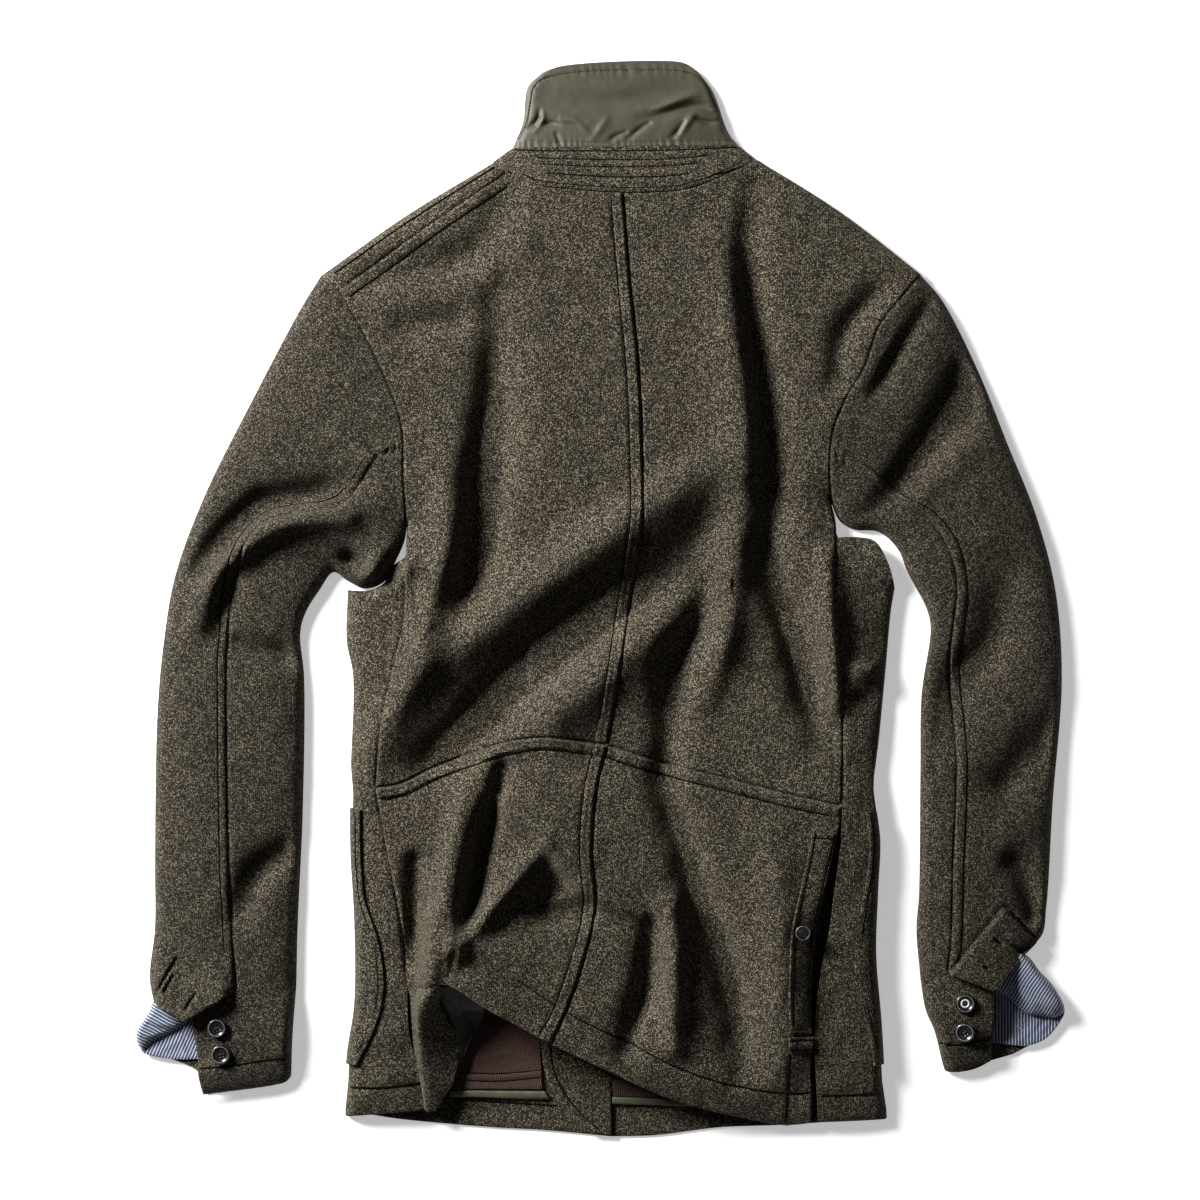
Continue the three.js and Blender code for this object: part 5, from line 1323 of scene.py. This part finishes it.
def buildFronts():
    low = neck + [0, -1.5]
    meeting = [low[seamTop], [frontCut["centre"], -300], [frontCut["centre"], -418]]
    shoulderIn = np.full((len(shoulderRows), 1), collarCut["shoulderWrap"] + 0.7)
    shoulderIn = byIndex(alongRows(shoulderRows, shoulderIn)[:, 0], 5)
    edge = np.vstack([shoulderIn[:1], smoothRun(armLeft, 12), frontSide(rowsSideLeft, 1.2)])
    top = np.vstack([shoulderIn, byIndex(low[2:seamTop + 1], 5)])
    hem = smoothRun([edge[-1].tolist(), [-155, -404.5], [-81, -411], [-44, -413], meeting[-1]])
    buildFront("front.left", edge, straightRun(meeting, len(edge)), top, hem, "left top bottom",
               stitchRows([[[-112, -388.5], [-60, -392], [4, -396]]], depth=0.3))
    edge = np.vstack([smoothRun(armRight, 12), frontSide(rowsSideRight, -1.2)])
    top = np.vstack([meeting[:1], byIndex(low[seamTop + 4:], 6), smoothRun(shoulderRight, 6)[1:]])
    hem = smoothRun([meeting[-1], [43, -417], [92, -411], [142, -409], edge[-1].tolist()])
    buildFront("front.right", straightRun(meeting, len(edge)), edge, top, hem, "right top bottom")
    buildFacing()
    sewnLines("stitches.front.hem", [[[-112, -388.5], [-60, -392], [-34, -393.6]]],
              lambda x, y: pocketLift(x, y) + cloth["wool"] + 0.3)


buildFronts()
print("fronts and facing")

# patch pockets, folded round the sides
pocketCut = {"cloth": 2.0, "clear": 1.2, "depth": 150.0, "step": 1.5,
             "edge": [[-162, 9, 9], [-210, 9, 10], [-233, 10, 13], [-264, 19, 17], [-299, 23, 18], [-339, 17, 11],
                      [-361, 9, 9]]}


def buildPocket(side, rows, inward):
    # the flap's width comes from a smooth curve through the rows y, left, right of its dictionary
    p = pocketCut
    edge = np.array(p["edge"], dtype=float)
    way = smoothRun(edge[:, [0, 1 if side == "left" else 2]], 120)
    start = byIndex(rows[:, 0], 900)
    second = byIndex(rows[:, 1], 900)
    keep = (start[:, 1] < edge[0, 0] - 0.2) & (start[:, 1] > edge[-1, 0] + 0.2)
    start, second = start[keep], second[keep]
    pick = np.unique(np.linspace(0, len(start) - 1, 120).astype(int))
    start, second = start[pick], second[pick]
    start = start - unit(second - start) * cloth["pocketStep"]
    width = np.interp(-start[:, 1], -way[:, 0], way[:, 1])
    end = start + np.column_stack([inward * width, np.zeros(len(start))])
    far = np.column_stack([start[:, 0] + inward * (p["depth"] + 20), end[:, 1]])
    made = np.stack([start, end, far], axis=1)
    line = end - np.column_stack([inward * np.full(len(end), 4.2), np.zeros(len(end))])
    plain = lambda x, y: upper(x, y) + p["clear"] + p["cloth"]
    height = withRelief(plain, stitchRows([line[::6].tolist()], depth=0.7))
    outer, inner = foldedGrids(made, width, np.full(len(made), p["depth"] - 4), height, level,
                               cloth["foldRise"] + cloth["pocketStep"], p["cloth"], p["step"], reach=7)
    outer, inner = roundEdges(outer, inner, ["left"], radius=1.4)
    makeShell(f"pocket.{side}", outer, inner, "wool")
    sewnLines(f"stitches.pocket.{side}", [line[3:-3:6].tolist()], lambda x, y: plain(x, y) - 0.3)


buildPocket("left", rowsSideLeft, 1)
buildPocket("right", rowsSideRight, -1)
print("pockets")

# vent at the right side: strip, bar tab, underlap and snap
ventCut = {"lift": 0.4, "cloth": 1.8,
           "left": [[163.5, -180.6], [159.7, -203], [152.7, -233], [148, -255], [145.9, -284], [145.7, -335]],
           "right": [[183.2, -181.5], [178.2, -203], [172.4, -228], [167, -252], [164.6, -272], [163.0, -299],
                     [163.4, -316], [163.6, -335.5]],
           "tab": [[145.2, -337], [165, -337.6], [165, -349.6], [145.2, -349]],
           "underlap": [[161, -192], [180, -192], [176, -378], [153, -378]]}


def raisedStrip(name, grid, lift, thickness, relief):
    # a strip sewn on a panel: the panel's own height with the strip's thickness and relief over it
    height = lambda x, y: upper(x, y) + lift + thickness + relief(x, y)
    outer, inner = sheetGrids(grid, height, thickness, None, ("top", "bottom", "left", "right"))
    inner = np.dstack([inner[..., 0], inner[..., 1], np.maximum(inner[..., 2], 0)])
    makeShell(name, outer, inner, "wool")


def buildVent():
    v = ventCut
    grid = sideGrid(smoothRun(v["left"]), smoothRun(v["right"]), 1.1)
    inLeft, inRight = offsetRun(v["left"], 2.4)[::4], offsetRun(v["right"], -2.4)[::4]
    pillow = creases([(5.5, 2.6, [[173, -184, 0.5], [160, -240, 0.9], [155, -290, 0.9], [154.6, -330, 0.6]])])
    lines = stitchRows([inLeft.tolist(), inRight.tolist(), [[164, -184.2], [182, -185.2]],
                        [[146.5, -331.5], [163, -332]]], depth=0.55)
    raisedStrip("vent.placket", grid, v["lift"], v["cloth"], withRelief(pillow, lines))
    onStrip = lambda x, y: upper(x, y) + v["lift"] + v["cloth"] + 0.4
    sewnLines("stitches.placket", [inLeft.tolist(), inRight.tolist(), [[164, -184.2], [182, -185.2]]], onStrip)
    sewnLines("stitches.tab", [[[145.7, -339.4], [164.6, -339.9]], [[145.7, -346.6], [164.6, -347.2]]],
              lambda x, y: onStrip(x, y) + 0.3)
    grid = cornerGrid(v["tab"], 0.9)
    pillow = creases([(3.6, 2.4, [[148.5, -343, 0.9], [161.5, -343.5, 0.9]])])
    raisedStrip("vent.tab", grid, 0.5, v["cloth"],
                withRelief(pillow, stitchRows([[[145.5, -339.2], [165, -339.8]], [[145.5, -347], [165, -347.4]]],
                                              depth=0.5)))
    grid = cornerGrid(v["underlap"], 2.2)
    makeShell("vent.underlap", *plateGrids(grid, overFront, 2.0), "wool")


def makeLathe(name, profile, place, finish, nodes, sides=56, holes=None, tilt=(0.0, 0.0), ring=False):
    # a profile of [radius, height] turned round the upright axis; holes are dents in its top; a ring's profile
    # is closed on itself and has no flat ends
    p = np.array(profile, dtype=float)
    turn = np.arange(sides) * 2 * np.pi / sides
    x, y = p[:, :1] * np.cos(turn), p[:, :1] * np.sin(turn)
    z = p[:, 1:2] * np.ones(sides)
    if holes:
        top = np.arange(len(p))[:, None] > holes["from"]
        for hx, hy in holes["places"]:
            z = z - top * holes["depth"] * np.exp(-(np.hypot(x - hx, y - hy) / holes["radius"]) ** 4)
    z = z + tilt[0] * x + tilt[1] * y
    points = np.stack([x + place[0], y + place[1], z + place[2]], axis=-1).reshape(-1, 3)
    i, j = np.meshgrid(np.arange(len(p) - 1), np.arange(sides), indexing="ij")
    a, b = (i * sides + j).ravel(), (i * sides + (j + 1) % sides).ravel()
    faces = np.stack([a, b, b + sides, a + sides], axis=1).tolist()
    last = (len(p) - 1) * sides
    if ring:
        k = np.arange(sides)
        faces += np.stack([last + k, last + (k + 1) % sides, (k + 1) % sides, k], axis=1).tolist()
    else:
        faces += [np.arange(sides)[::-1].tolist(), (np.arange(sides) + last).tolist()]
    mesh = bpy.data.meshes.new(name)
    mesh.from_pydata((points * mm).tolist(), [], faces)
    mesh.polygons.foreach_set("use_smooth", np.ones(len(faces), dtype=bool))
    mesh.materials.append(finishes[finish])
    mesh.set_sharp_from_angle(angle=0.7)
    thing = bpy.data.objects.new(name, mesh)
    bpy.context.scene.collection.objects.link(thing)
    declare(thing, nodes)


def restingHeight(x, y, radius, height):
    # the highest point of a surface under a disc
    turn = np.arange(16) * np.pi / 8
    return float(np.max(height(x + radius * np.cos(turn), y + radius * np.sin(turn))))


snapCut = {
    "cap": [[5.7, 0.0], [5.95, 0.5], [5.95, 1.2], [5.6, 1.75], [5.1, 1.95], [4.7, 1.9], [4.45, 1.6], [3.4, 1.75],
            [2.0, 1.95], [0.3, 2.0]],
    "rim": [[5.35, 1.75], [5.42, 1.9], [5.3, 2.02], [5.15, 2.0], [5.1, 1.8]],
    "socket": [[2.2, 0.0], [2.3, 0.5], [1.9, 1.0], [1.2, 1.1], [0.9, 0.7], [0.2, 0.7]],
    "capPlace": (156, -257), "socketPlace": (168.5, -257), "capLift": 2.4, "socketLift": 2.3,
}


def buildSnap():
    c = snapCut
    capPlace = (*c["capPlace"], restingHeight(*c["capPlace"], 5.4, upper) + c["capLift"])
    socketPlace = (*c["socketPlace"], float(overFront(*c["socketPlace"])) + c["socketLift"])
    makeLathe("snap.cap", c["cap"], capPlace, "snap", ["snap_cap"])
    # the cap's thin light ring: painted highlight
    makeLathe("snap.rim", c["rim"], capPlace, "hornRimHighlight", [], ring=True)
    makeLathe("snap.socket", c["socket"], socketPlace, "snap", ["snap_socket"], sides=28)


buildVent()
buildSnap()
print("vent and snap")

# turned hem, its facing, the linings and the binding
rollRows = [  # y, then [x, z] from the side seam over the crest to the turn-up's edge
    ((-299.7, -299.4, -298.9, -297.6, -295.9, -295.8, -297.2),
     [[-148.8, 14], [-144.5, 26], [-138, 37], [-131, 41.5], [-124.5, 39], [-122.4, 35], [-121.6, 31]]),
    (-310, [[-148, 10], [-145.6, 24], [-141.2, 36.5], [-137.6, 39], [-131, 36], [-125, 30], [-122, 26.5]]),
    (-322, [[-147.4, 9.0], [-145.6, 22], [-141.8, 33.5], [-139, 35.5], [-131.5, 31], [-122, 24], [-117.4, 20.5]]),
    (-339, [[-145.8, 9.6], [-144.4, 19], [-141.2, 27.8], [-138.4, 29.4], [-129.5, 25], [-117, 18], [-109.6, 15.8]]),
    (-357, [[-143, 10.2], [-141.6, 16.5], [-139, 23], [-136.4, 24.2], [-126, 20.8], [-115, 16.4], [-108.4, 14.2]]),
    (-375, [[-139.6, 10.4], [-138.4, 15.4], [-136.4, 20], [-134, 20.8], [-126, 18.6], [-119, 16], [-113.4, 14.2]]),
    (-397, [[-135.8, 10.6], [-134.8, 13.6], [-133.8, 16.4], [-132.4, 16.8], [-130, 16.4], [-128.6, 15.8],
            [-127.6, 15.2]]),
]


def throughRows(rows, down, across, meet=None):
    # a surface through rows of stations: smooth curves down through each station, then across each row
    table = np.array([[[x, y, z] for (x, z), y in zip(stations, np.ones(len(stations)) * ys)]
                      for ys, stations in rows])
    if meet is not None:  # the first row takes the height of what it is sewn to, and the next ones follow it
        change = upper(table[0, :meet, 0], table[0, :meet, 1]) - table[0, :meet, 2]
        change = np.concatenate([change, np.full(table.shape[1] - meet, change[-1])])
        table[..., 2] += change * (1 - ease((table[0, 0, 1] - table[..., 1]) / 62))
    columns = np.stack([smoothRun(table[:, j], down) for j in range(table.shape[1])], axis=1)
    return np.stack([smoothRun(row, across) for row in columns])


def bindingRoll(top):
    # a rounded ribbon along its top run: 1.1*sqrt(1 - (d/3.2)^2) about its middle, with fine slanted gathers
    def relief(x, y):
        d = (np.interp(x, top[:, 0], top[:, 1]) - y - 2.8) / 3.2
        return 1.1 * np.sqrt(np.clip(1 - d ** 2, 0, 1)) + 0.18 * np.sin(x / 1.9 + y / 2.0)
    return relief


def buildRaisedHem():
    outer = throughRows(rollRows, 74, 44, meet=5)
    normals = gridNormals(outer)
    normals *= np.where(normals[:, 22:23, 2:3] < 0, -1.0, 1.0)
    ripple = 0.35 * np.sin(outer[..., 1] / 4.1 + outer[..., 0] / 9.0) + 0.3 * np.sin(outer[..., 1] / 9.7)
    outer = outer + normals * ripple[..., None] * np.linspace(0, 1, 44)[None, :, None] ** 1.5
    inner = outer - normals * cloth["wool"]
    outer, inner = roundEdges(outer, inner, ["right", "bottom"], radius=1.4)
    makeShell("back.hem.roll", outer, inner, "wool")

    facingRows = [
        (-298.5, [[-124.6, 34], [-119, 33.5], [-111, 32], [-104, 31.5], [-97.5, 30.5]]),
        (-311, [[-122.4, 27], [-115, 25.5], [-107, 24.6], [-98, 25.4], [-90.5, 25.4]]),
        (-321, [[-118.0, 21], [-111, 18.6], [-104, 17.6], [-97, 18.6], [-90, 19.4]]),
        (-333, [[-112.2, 16.6], [-107.5, 14.2], [-103.5, 13.4], [-100, 14.0], [-95.5, 15.2]]),
        (-346, [[-109.8, 14.6], [-107.6, 12.8], [-105.8, 12.2], [-104.2, 12.5], [-102.2, 13.0]]),
        (-359.5, [[-110.0, 13.6], [-109.0, 12.2], [-108.2, 11.8], [-107.4, 11.9], [-106.6, 12.0]]),
    ]
    outer = throughRows(facingRows, 56, 34)
    fold = creases([(2.0, 2, [[-120, -309, 0.8], [-112, -330, 1.2], [-107.5, -352, 0.8]]),
                    (2.6, 2, [[-108, -322, -1.4], [-101, -331, -1.8], [-98, -338, -0.8]]),
                    (2.2, 2, [[-110, -312, -0.8], [-103, -318, -1.2], [-92, -318, -0.6]]),
                    (1.6, 2, [[-104, -334, 1.0], [-99, -340, 0.8]])])
    outer[..., 2] += fold(outer[..., 0], outer[..., 1])
    makeShell("hem.facing", outer, sheetBetween(outer, cloth["thin"]), "darkNylon")

    for name, corners, lines, tucks in (
            ("lining.left", [[-127, -304], [-48.6, -304], [-44.6, -380.9], [-117, -380.6]],
             [[[-116, -366.8], [-80, -368.2], [-45, -365.4]], [[-116, -372.6], [-80, -374.0], [-44, -370.8]]],
             [[[-118, -369.7, 0.9], [-80, -371.2, 1.0], [-44, -368.2, 1.0]],
              [[-100, -330, 0.5], [-70, -335, 0.9], [-52, -350, 0.5]], [[-95, -358, 0.8], [-70, -352, 0.5]],
              [[-116, -378, 0.4], [-80, -379, 0.5], [-44, -378, 0.4]]]),
            ("lining.right", [[9.4, -316], [92, -316], [92, -388.6], [9.4, -386]],
             [[[10, -372], [50, -374], [90, -377]]], [[[10, -378, 0.7], [50, -380, 0.8], [90, -383, 0.6]]])):
        waves = creases([(2.6, 2, tuck) for tuck in tucks])
        relief = withRelief(waves, stitchRows(lines, depth=0.8, width=0.9))
        made = plateGrids(cornerGrid(corners, 1.5), overFront, cloth["thin"], relief=relief)
        makeShell(name, *made, "lining")
        onLining = lambda x, y: overFront(x, y) + cloth["thin"] + 0.35
        sewnLines(f"stitches.{name}", lines, onLining, "liningThread", pitch=2.6, radius=0.5, share=0.8)
    for side, top, bottom in (
            ("left", [[-117, -381.2], [-90, -381.8], [-43, -382.2]],
             [[-117, -386.4], [-90, -387.2], [-60, -388.6], [-38.6, -388.8]]),
            ("right", [[9.4, -386.6], [78, -389.2]], [[9.4, -392.4], [78, -394.4]])):
        made = plateGrids(bandGrid(smoothRun(top), smoothRun(bottom), 0.9), overFront, cloth["thin"],
                          relief=bindingRoll(smoothRun(top)))
        makeShell(f"hem.binding.{side}", *made, "binding")


buildRaisedHem()
print("raised hem and linings")

# cuffs: the sleeve's end, its striped lining in two layers, the far side's turned wool, and the buttons
cuffs = {
    "left": {
        "fold": [[-236, -300], [-239, -340], [-240, -371]],
        "free": [[-281, -303], [-296, -309], [-312, -317.5], [-316.4, -324], [-313, -344], [-311, -370],
                 [-308, -385]],
        "top": [[-236, -300], [-281, -303.2]],
        "bottom": [[-240, -371], [-243.5, -374.6], [-251, -377], [-308, -385]],
        "lines": [[[-310.5, -363.4], [-287, -361], [-263, -357.2], [-240, -354.8]]],
        "contour": [[-347.5, -312.6], [-350.5, -321], [-356.8, -330], [-360, -337], [-360.2, -343], [-357.6, -349],
                    [-354.6, -352.5]],
        "border": [[-320.6, -325.6], [-320.4, -328.2]],
        "upperRun": [[-347.5, -312.6], [-338, -317.4], [-330, -322], [-320.6, -325.6]],
        "crease": [[-354.6, -352.5], [-350.4, -346], [-342.2, -340.6], [-331, -335.4], [-320.4, -328.2]],
        "air": 5.0,
        "backTop": [[-356.4, -350], [-345, -337], [-330, -322], [-303, -312]],
        "backBottom": [[-355.4, -352.8], [-345, -355.6], [-334, -357.2], [-323, -357.6], [-303, -356.6]],
        "turn": [[-340, -355.4], [-311, -352], [-311, -370], [-314.4, -364.6]],
    },
    "right": {
        "fold": [[249, -295], [253, -319], [260, -336], [266, -360], [268, -367]],
        "free": [[305, -303.4], [305.4, -330], [303, -359]],
        "top": [[249, -295], [269, -290.2], [305, -303.4]],
        "bottom": [[268, -367], [277, -367.4], [291, -364.6], [303, -359]],
        "lines": [[[262, -343.6], [280, -344.6], [304, -340.6]]],
        "contour": [[328.6, -274.6], [335, -280], [341, -288.3], [350.8, -298.8], [357, -308.2], [360.6, -316],
                    [361.2, -321.6]],
        "border": [[325.4, -275.4], [316.2, -288.3], [309.8, -299.8], [306.6, -305.8]],
        "upperRun": [[328.6, -274.6], [325.4, -275.4]],
        "crease": [[361.2, -321.6], [352, -325.2], [341.6, -323.8], [332.2, -322.7], [325, -317.5], [315.6, -309.2],
                   [306.6, -305.8]],
        "air": 9.5,
        "backTop": [[296, -298], [325, -302], [345, -311], [359, -319.4]],
        "backBottom": [[296, -343.6], [318.8, -346.2], [332, -347.0], [345.7, -342], [355, -332], [360.8, -322.6]],
        "turn": [[303, -340], [335.4, -346.4], [321, -354], [303, -359.2]],
    },
}


def stripeMap(points, run, turn):
    # UV for the stripes: distance from a guide curve, or the plan turned by an angle where there is none
    x, y = points[..., 0], points[..., 1]
    if run is not None:
        d, side, place = nearestOn(x, y, smoothRun(run, 40))[:3]
        return np.stack([d, place], axis=-1)
    return np.stack([x * np.cos(turn) - y * np.sin(turn), x * np.sin(turn) + y * np.cos(turn)], axis=-1)


def buildCuff(side, guide, turn, wrinkles, backWaves):
    c = cuffs[side]
    grid = panelGrid(smoothRun(c["fold"]), straightRun(c["free"]), straightRun(c["top"]),
                     joinedRun(c["bottom"]), 1.4, "", fine=False)
    height = withRelief(dressed, stitchRows(c["lines"], depth=0.8, width=0.95))
    outer, inner = foldedGrids(grid, rowLength(grid), rowLength(grid) * 0.98, height=height, step=1.4)
    outer, inner = roundEdges(outer, inner, ["left", "bottom"])
    makeShell(f"cuff.{side}", outer, inner, "woolShadedSleeve")

    rows = panelGrid(smoothRun(c["contour"]), smoothRun(c["border"]), smoothRun(c["upperRun"]),
                     smoothRun(c["crease"]), 0.9, "", fine=False)
    crease = smoothRun(c["crease"], 60)

    def air(x, y):
        d = nearestOn(x, y, crease)[0]
        return 4.6 + c["air"] * np.sqrt(1 - (1 - np.clip(d / 13, 0, 1)) ** 2) + wrinkles(x, y)
    long = rowLength(rows)
    outer, inner = foldedGrids(rows, long, np.maximum(long * 0.9, 4.2), height=air, lift=level, rise=2.6,
                               thickness=cloth["thin"], step=0.9, fineSeam=False, reach=5.0)
    makeShell(f"cuff.lining.{side}", outer, inner, "stripe", uv=stripeMap(outer, guide, 0))

    grid = bandGrid(smoothRun(c["backTop"]), smoothRun(c["backBottom"]), 1.0, fine=False)
    low = smoothRun(c["backBottom"], 60)
    base = lambda x, y: 2.9 + 0.9 * bell(nearestOn(x, y, low)[0], 5) + backWaves(x, y)
    outer, inner = plateGrids(grid, base, cloth["thin"])
    makeShell(f"cuff.lining.back.{side}", outer, inner, "stripe", [], uv=stripeMap(outer, None, turn))

    grid = cornerGrid(c["turn"], 1.4)
    makeShell(f"cuff.turn.{side}", *plateGrids(grid, level, cloth["wool"]), "wool")


buildCuff("left", cuffs["left"]["upperRun"], 0.42,
          creases([(2.4, 2, [[-352, -322, 0.4], [-342, -329, 0.9], [-330, -331, 0.4]]),
                   (2.0, 2, [[-357, -337, 0.5], [-349, -339, 0.8], [-340, -336, 0.3]]),
                   (1.8, 2, [[-350, -330, -0.6], [-340, -334, -0.6]])]),
          creases([(3.0, 2, [[-345, -352, 0.5], [-330, -345, 0.6]]),
                   (2.0, 2, [[-326, -340, 0.5], [-322, -356, 0.6]])]))
buildCuff("right", cuffs["right"]["border"], 0.0,
          creases([(3.2, 2, [[332, -286, 0.5], [341, -298, 0.9], [350, -312, 0.5]]),
                   (2.2, 2, [[322, -296, -0.5], [326, -308, -0.9], [334, -318, -0.5]]),
                   (2.4, 2, [[312, -303, 0.5], [320, -309, 1.1], [327, -316, 0.5]]),
                   (2.0, 2, [[340, -316, -0.5], [352, -320, -0.7], [359, -321, -0.3]])]),
          creases([(3.0, 2, [[342, -326, 0.7], [334, -336, 1.0], [322, -345, 0.5]]),
                   (2.4, 2, [[352, -325, 0.6], [344, -334, 0.9], [334, -343, 0.5]]),
                   (2.0, 2, [[308, -322, 0.3], [307, -340, 0.5]]),
                   (2.0, 2, [[315, -326, 0.4], [314, -342, 0.5]])]))
sewnLines("stitches.cuff.lining", [[[306, -319.5], [320, -329], [336, -341]]],
          lambda x, y: 4.35 + 0 * x, "whiteThread", 2.6, 0.2, 0.62)


buttonCut = {
    "profile": [[6.9, 0.0], [7.35, 0.5], [7.5, 1.3], [7.42, 2.2], [7.1, 2.85], [6.6, 3.2], [6.0, 3.24], [5.5, 3.05],
                [5.1, 2.6], [4.6, 2.22], [4.0, 2.1], [3.6, 2.08], [3.2, 2.07], [2.8, 2.06], [2.4, 2.05], [2.1, 2.05],
                [1.8, 2.05], [1.5, 2.05], [1.2, 2.05], [0.9, 2.05], [0.6, 2.05], [0.3, 2.05]],
    "holes": {"from": 11, "depth": 1.5, "radius": 0.72,
              "places": [(1.15, 1.15), (-1.15, 1.15), (-1.15, -1.15), (1.15, -1.15)]},
    "rim": [[6.15, 3.1], [6.33, 3.28], [6.22, 3.4], [6.05, 3.4], [5.93, 3.28], [5.95, 3.05]],
    "ring": [[3.45, 1.95], [3.4, 2.3], [3.05, 2.42], [2.5, 2.42], [2.3, 2.25], [2.25, 1.95]],
    "lift": 0.45,
}


def buildButton(name, x, y, spin, tilt=(0.0, 0.0), ring=False):
    # one button with its rim, light grey as a painted highlight, and crossed threads; spin turns its four holes, in
    # radians
    b = buttonCut
    z = restingHeight(x, y, 7.2, upper) + b["lift"]
    turned = [(px * np.cos(spin) - py * np.sin(spin), px * np.sin(spin) + py * np.cos(spin))
              for px, py in b["holes"]["places"]]
    makeLathe(name, b["profile"], (x, y, z), "horn", [name.replace(".", "_")],
              holes={**b["holes"], "places": turned}, tilt=tilt)
    makeLathe(f"{name}.rim", b["rim"], (x, y, z), "hornRimHighlight", [], tilt=tilt, ring=True)
    if ring:
        makeLathe(f"{name}.ring", b["ring"], (x, y, z), "pearl", [], tilt=tilt, ring=True)
    t = np.linspace(-1, 1, 7)
    bars = []
    for first, second in ((0, 2), (1, 3)):
        (ax, ay), (bx, by) = turned[first], turned[second]
        px, py = (ax + bx) / 2 + (bx - ax) / 2 * t, (ay + by) / 2 + (by - ay) / 2 * t
        tall = z + 1.6 + 0.75 * (1 - t ** 2) ** 0.5 + tilt[0] * px + tilt[1] * py
        bars.append(np.column_stack([x + px, y + py, tall]))
    makeCords(f"{name}.thread", bars, 0.3, "buttonThread")


buildButton("cuff.button.left.1", -296.0, -331.5, 0.5)
buildButton("cuff.button.left.2", -293.2, -352.0, 0.2)
buildButton("cuff.button.right.1", 282.0, -312.5, 0.3, ring=True)
buildButton("cuff.button.right.2", 281.5, -335.0, 0.7, tilt=(0.22, 0.0))
print("cuffs and buttons")

# rows of stitching, as threads lying in their dents; their dark olive colour is partly painted shade of the dents
hemRuns = {
    "right": [[171, -383.6], [195, -383.2], [216, -382]],
    "left": [[-193, -377.8], [-170, -377.4], [-138, -374.3]],
    "vent": [[145.7, -350], [144.6, -375], [143.4, -405]],
}


def buildStitches():
    onCloth = lambda x, y: upper(x, y) + 0.3
    beside = lambda points, away, first=0.01, last=0.99: offsetRun(
        points, away, np.linspace(first, last, 60))[::3].tolist()
    sewnLines("stitches.back", [
        beside(backSeamUpper, -10.2), beside(backSeamLower, -10.2, 0.03), beside(waistLeft, -9.2, 0.02, 0.93),
        beside(waistRight, -9.2, 0.02, 0.98), beside(neckLine, 3.2, 0.05, 0.97),
        beside(shoulderSeamLeft, -8.6, 0.02), hemBack, hemRuns["vent"]], onCloth)
    sewnLines("stitches.sides", [hemRuns["left"], hemRuns["right"]], onCloth)
    sewnLines("stitches.sleeve.left", [beside(sleeveSeamLeft, -7.3, 0.06)], onCloth)
    sewnLines("stitches.sleeve.right", [beside(sleeveSeamRight, 7.3, 0.06)], onCloth)
    sewnLines("stitches.shoulder", [[[-206, 252.5], [-150, 291.5], [-82, 335]]], onCloth)
    sewnLines("stitches.cuff.left", cuffs["left"]["lines"], onCloth)
    sewnLines("stitches.flap.right", [[[299.6, -256.2], [313, -264], [326, -272.6]]], endRight)
    sewnLines("stitches.cuff.right", cuffs["right"]["lines"], onCloth)
    sewnLines("stitches.stand", standLines, lambda x, y: collarAir(x, y) - 0.1)
    sewnLines("stitches.collar", [leafStitch], lambda x, y: collarAir(x, y) - 0.35, "nylonThread", 2.4, 0.45, 0.8)


buildStitches()
print("stitches")

# how each sheet is held and what it lies on
resting = {
    "front.left": ("laid", "floor"), "front.right": ("laid", "floor"),
    "front.facing": ("laid", "front.left"), "front.shoulder.left": ("folded", "back.upper.left"),
    "back.upper.left": ("laid", "front.left"), "back.upper.right": ("laid", "front.right"),
    "back.lower.left": ("laid", "front.left"), "back.lower.right": ("laid", "front.right"),
    "side.panel.left": ("folded", "front.left"), "side.panel.right": ("folded", "front.right"),
    "sleeve.upper.left": ("folded", "sleeve.under.left"),
    "sleeve.upper.right": ("folded", "sleeve.under.right"), "sleeve.under.left": ("folded", "floor"),
    "sleeve.under.right": ("folded", "floor"), "collar.stand": ("folded", "floor"),
    "collar.leaf": ("folded", "floor"), "pocket.left": ("folded", "side.panel.left"),
    "pocket.right": ("folded", "side.panel.right"), "vent.placket": ("laid", "back.lower.right"),
    "vent.tab": ("laid", "back.lower.right"), "vent.underlap": ("laid", "front.right"),
    "back.hem.roll": ("folded", "back.lower.left"), "hem.facing": ("folded", "back.hem.roll"),
    "lining.left": ("laid", "front.left"), "lining.right": ("laid", "front.right"),
    "hem.binding.left": ("laid", "lining.left"), "hem.binding.right": ("laid", "lining.right"),
    "cuff.left": ("folded", "floor"), "cuff.right": ("folded", "floor"),
    "cuff.lining.left": ("folded", "cuff.lining.back.left"),
    "cuff.lining.right": ("folded", "cuff.lining.back.right"),
    "cuff.lining.back.left": ("laid", "cuff.turn.left"),
    "cuff.lining.back.right": ("laid", "cuff.turn.right"), "cuff.turn.left": ("laid", "floor"),
    "cuff.turn.right": ("laid", "floor"),
}
leastFlat = 0.0101  # in m: a sheet's stated width and length stay over 10 mm


def declareSheets():
    for name, (held, under) in resting.items():
        width, length, area = pieceCuts[name]
        width, length = max(width, leastFlat), max(length, leastFlat)


declareSheets()
print("sheets declared", len(resting), "of", len(pieceCuts))
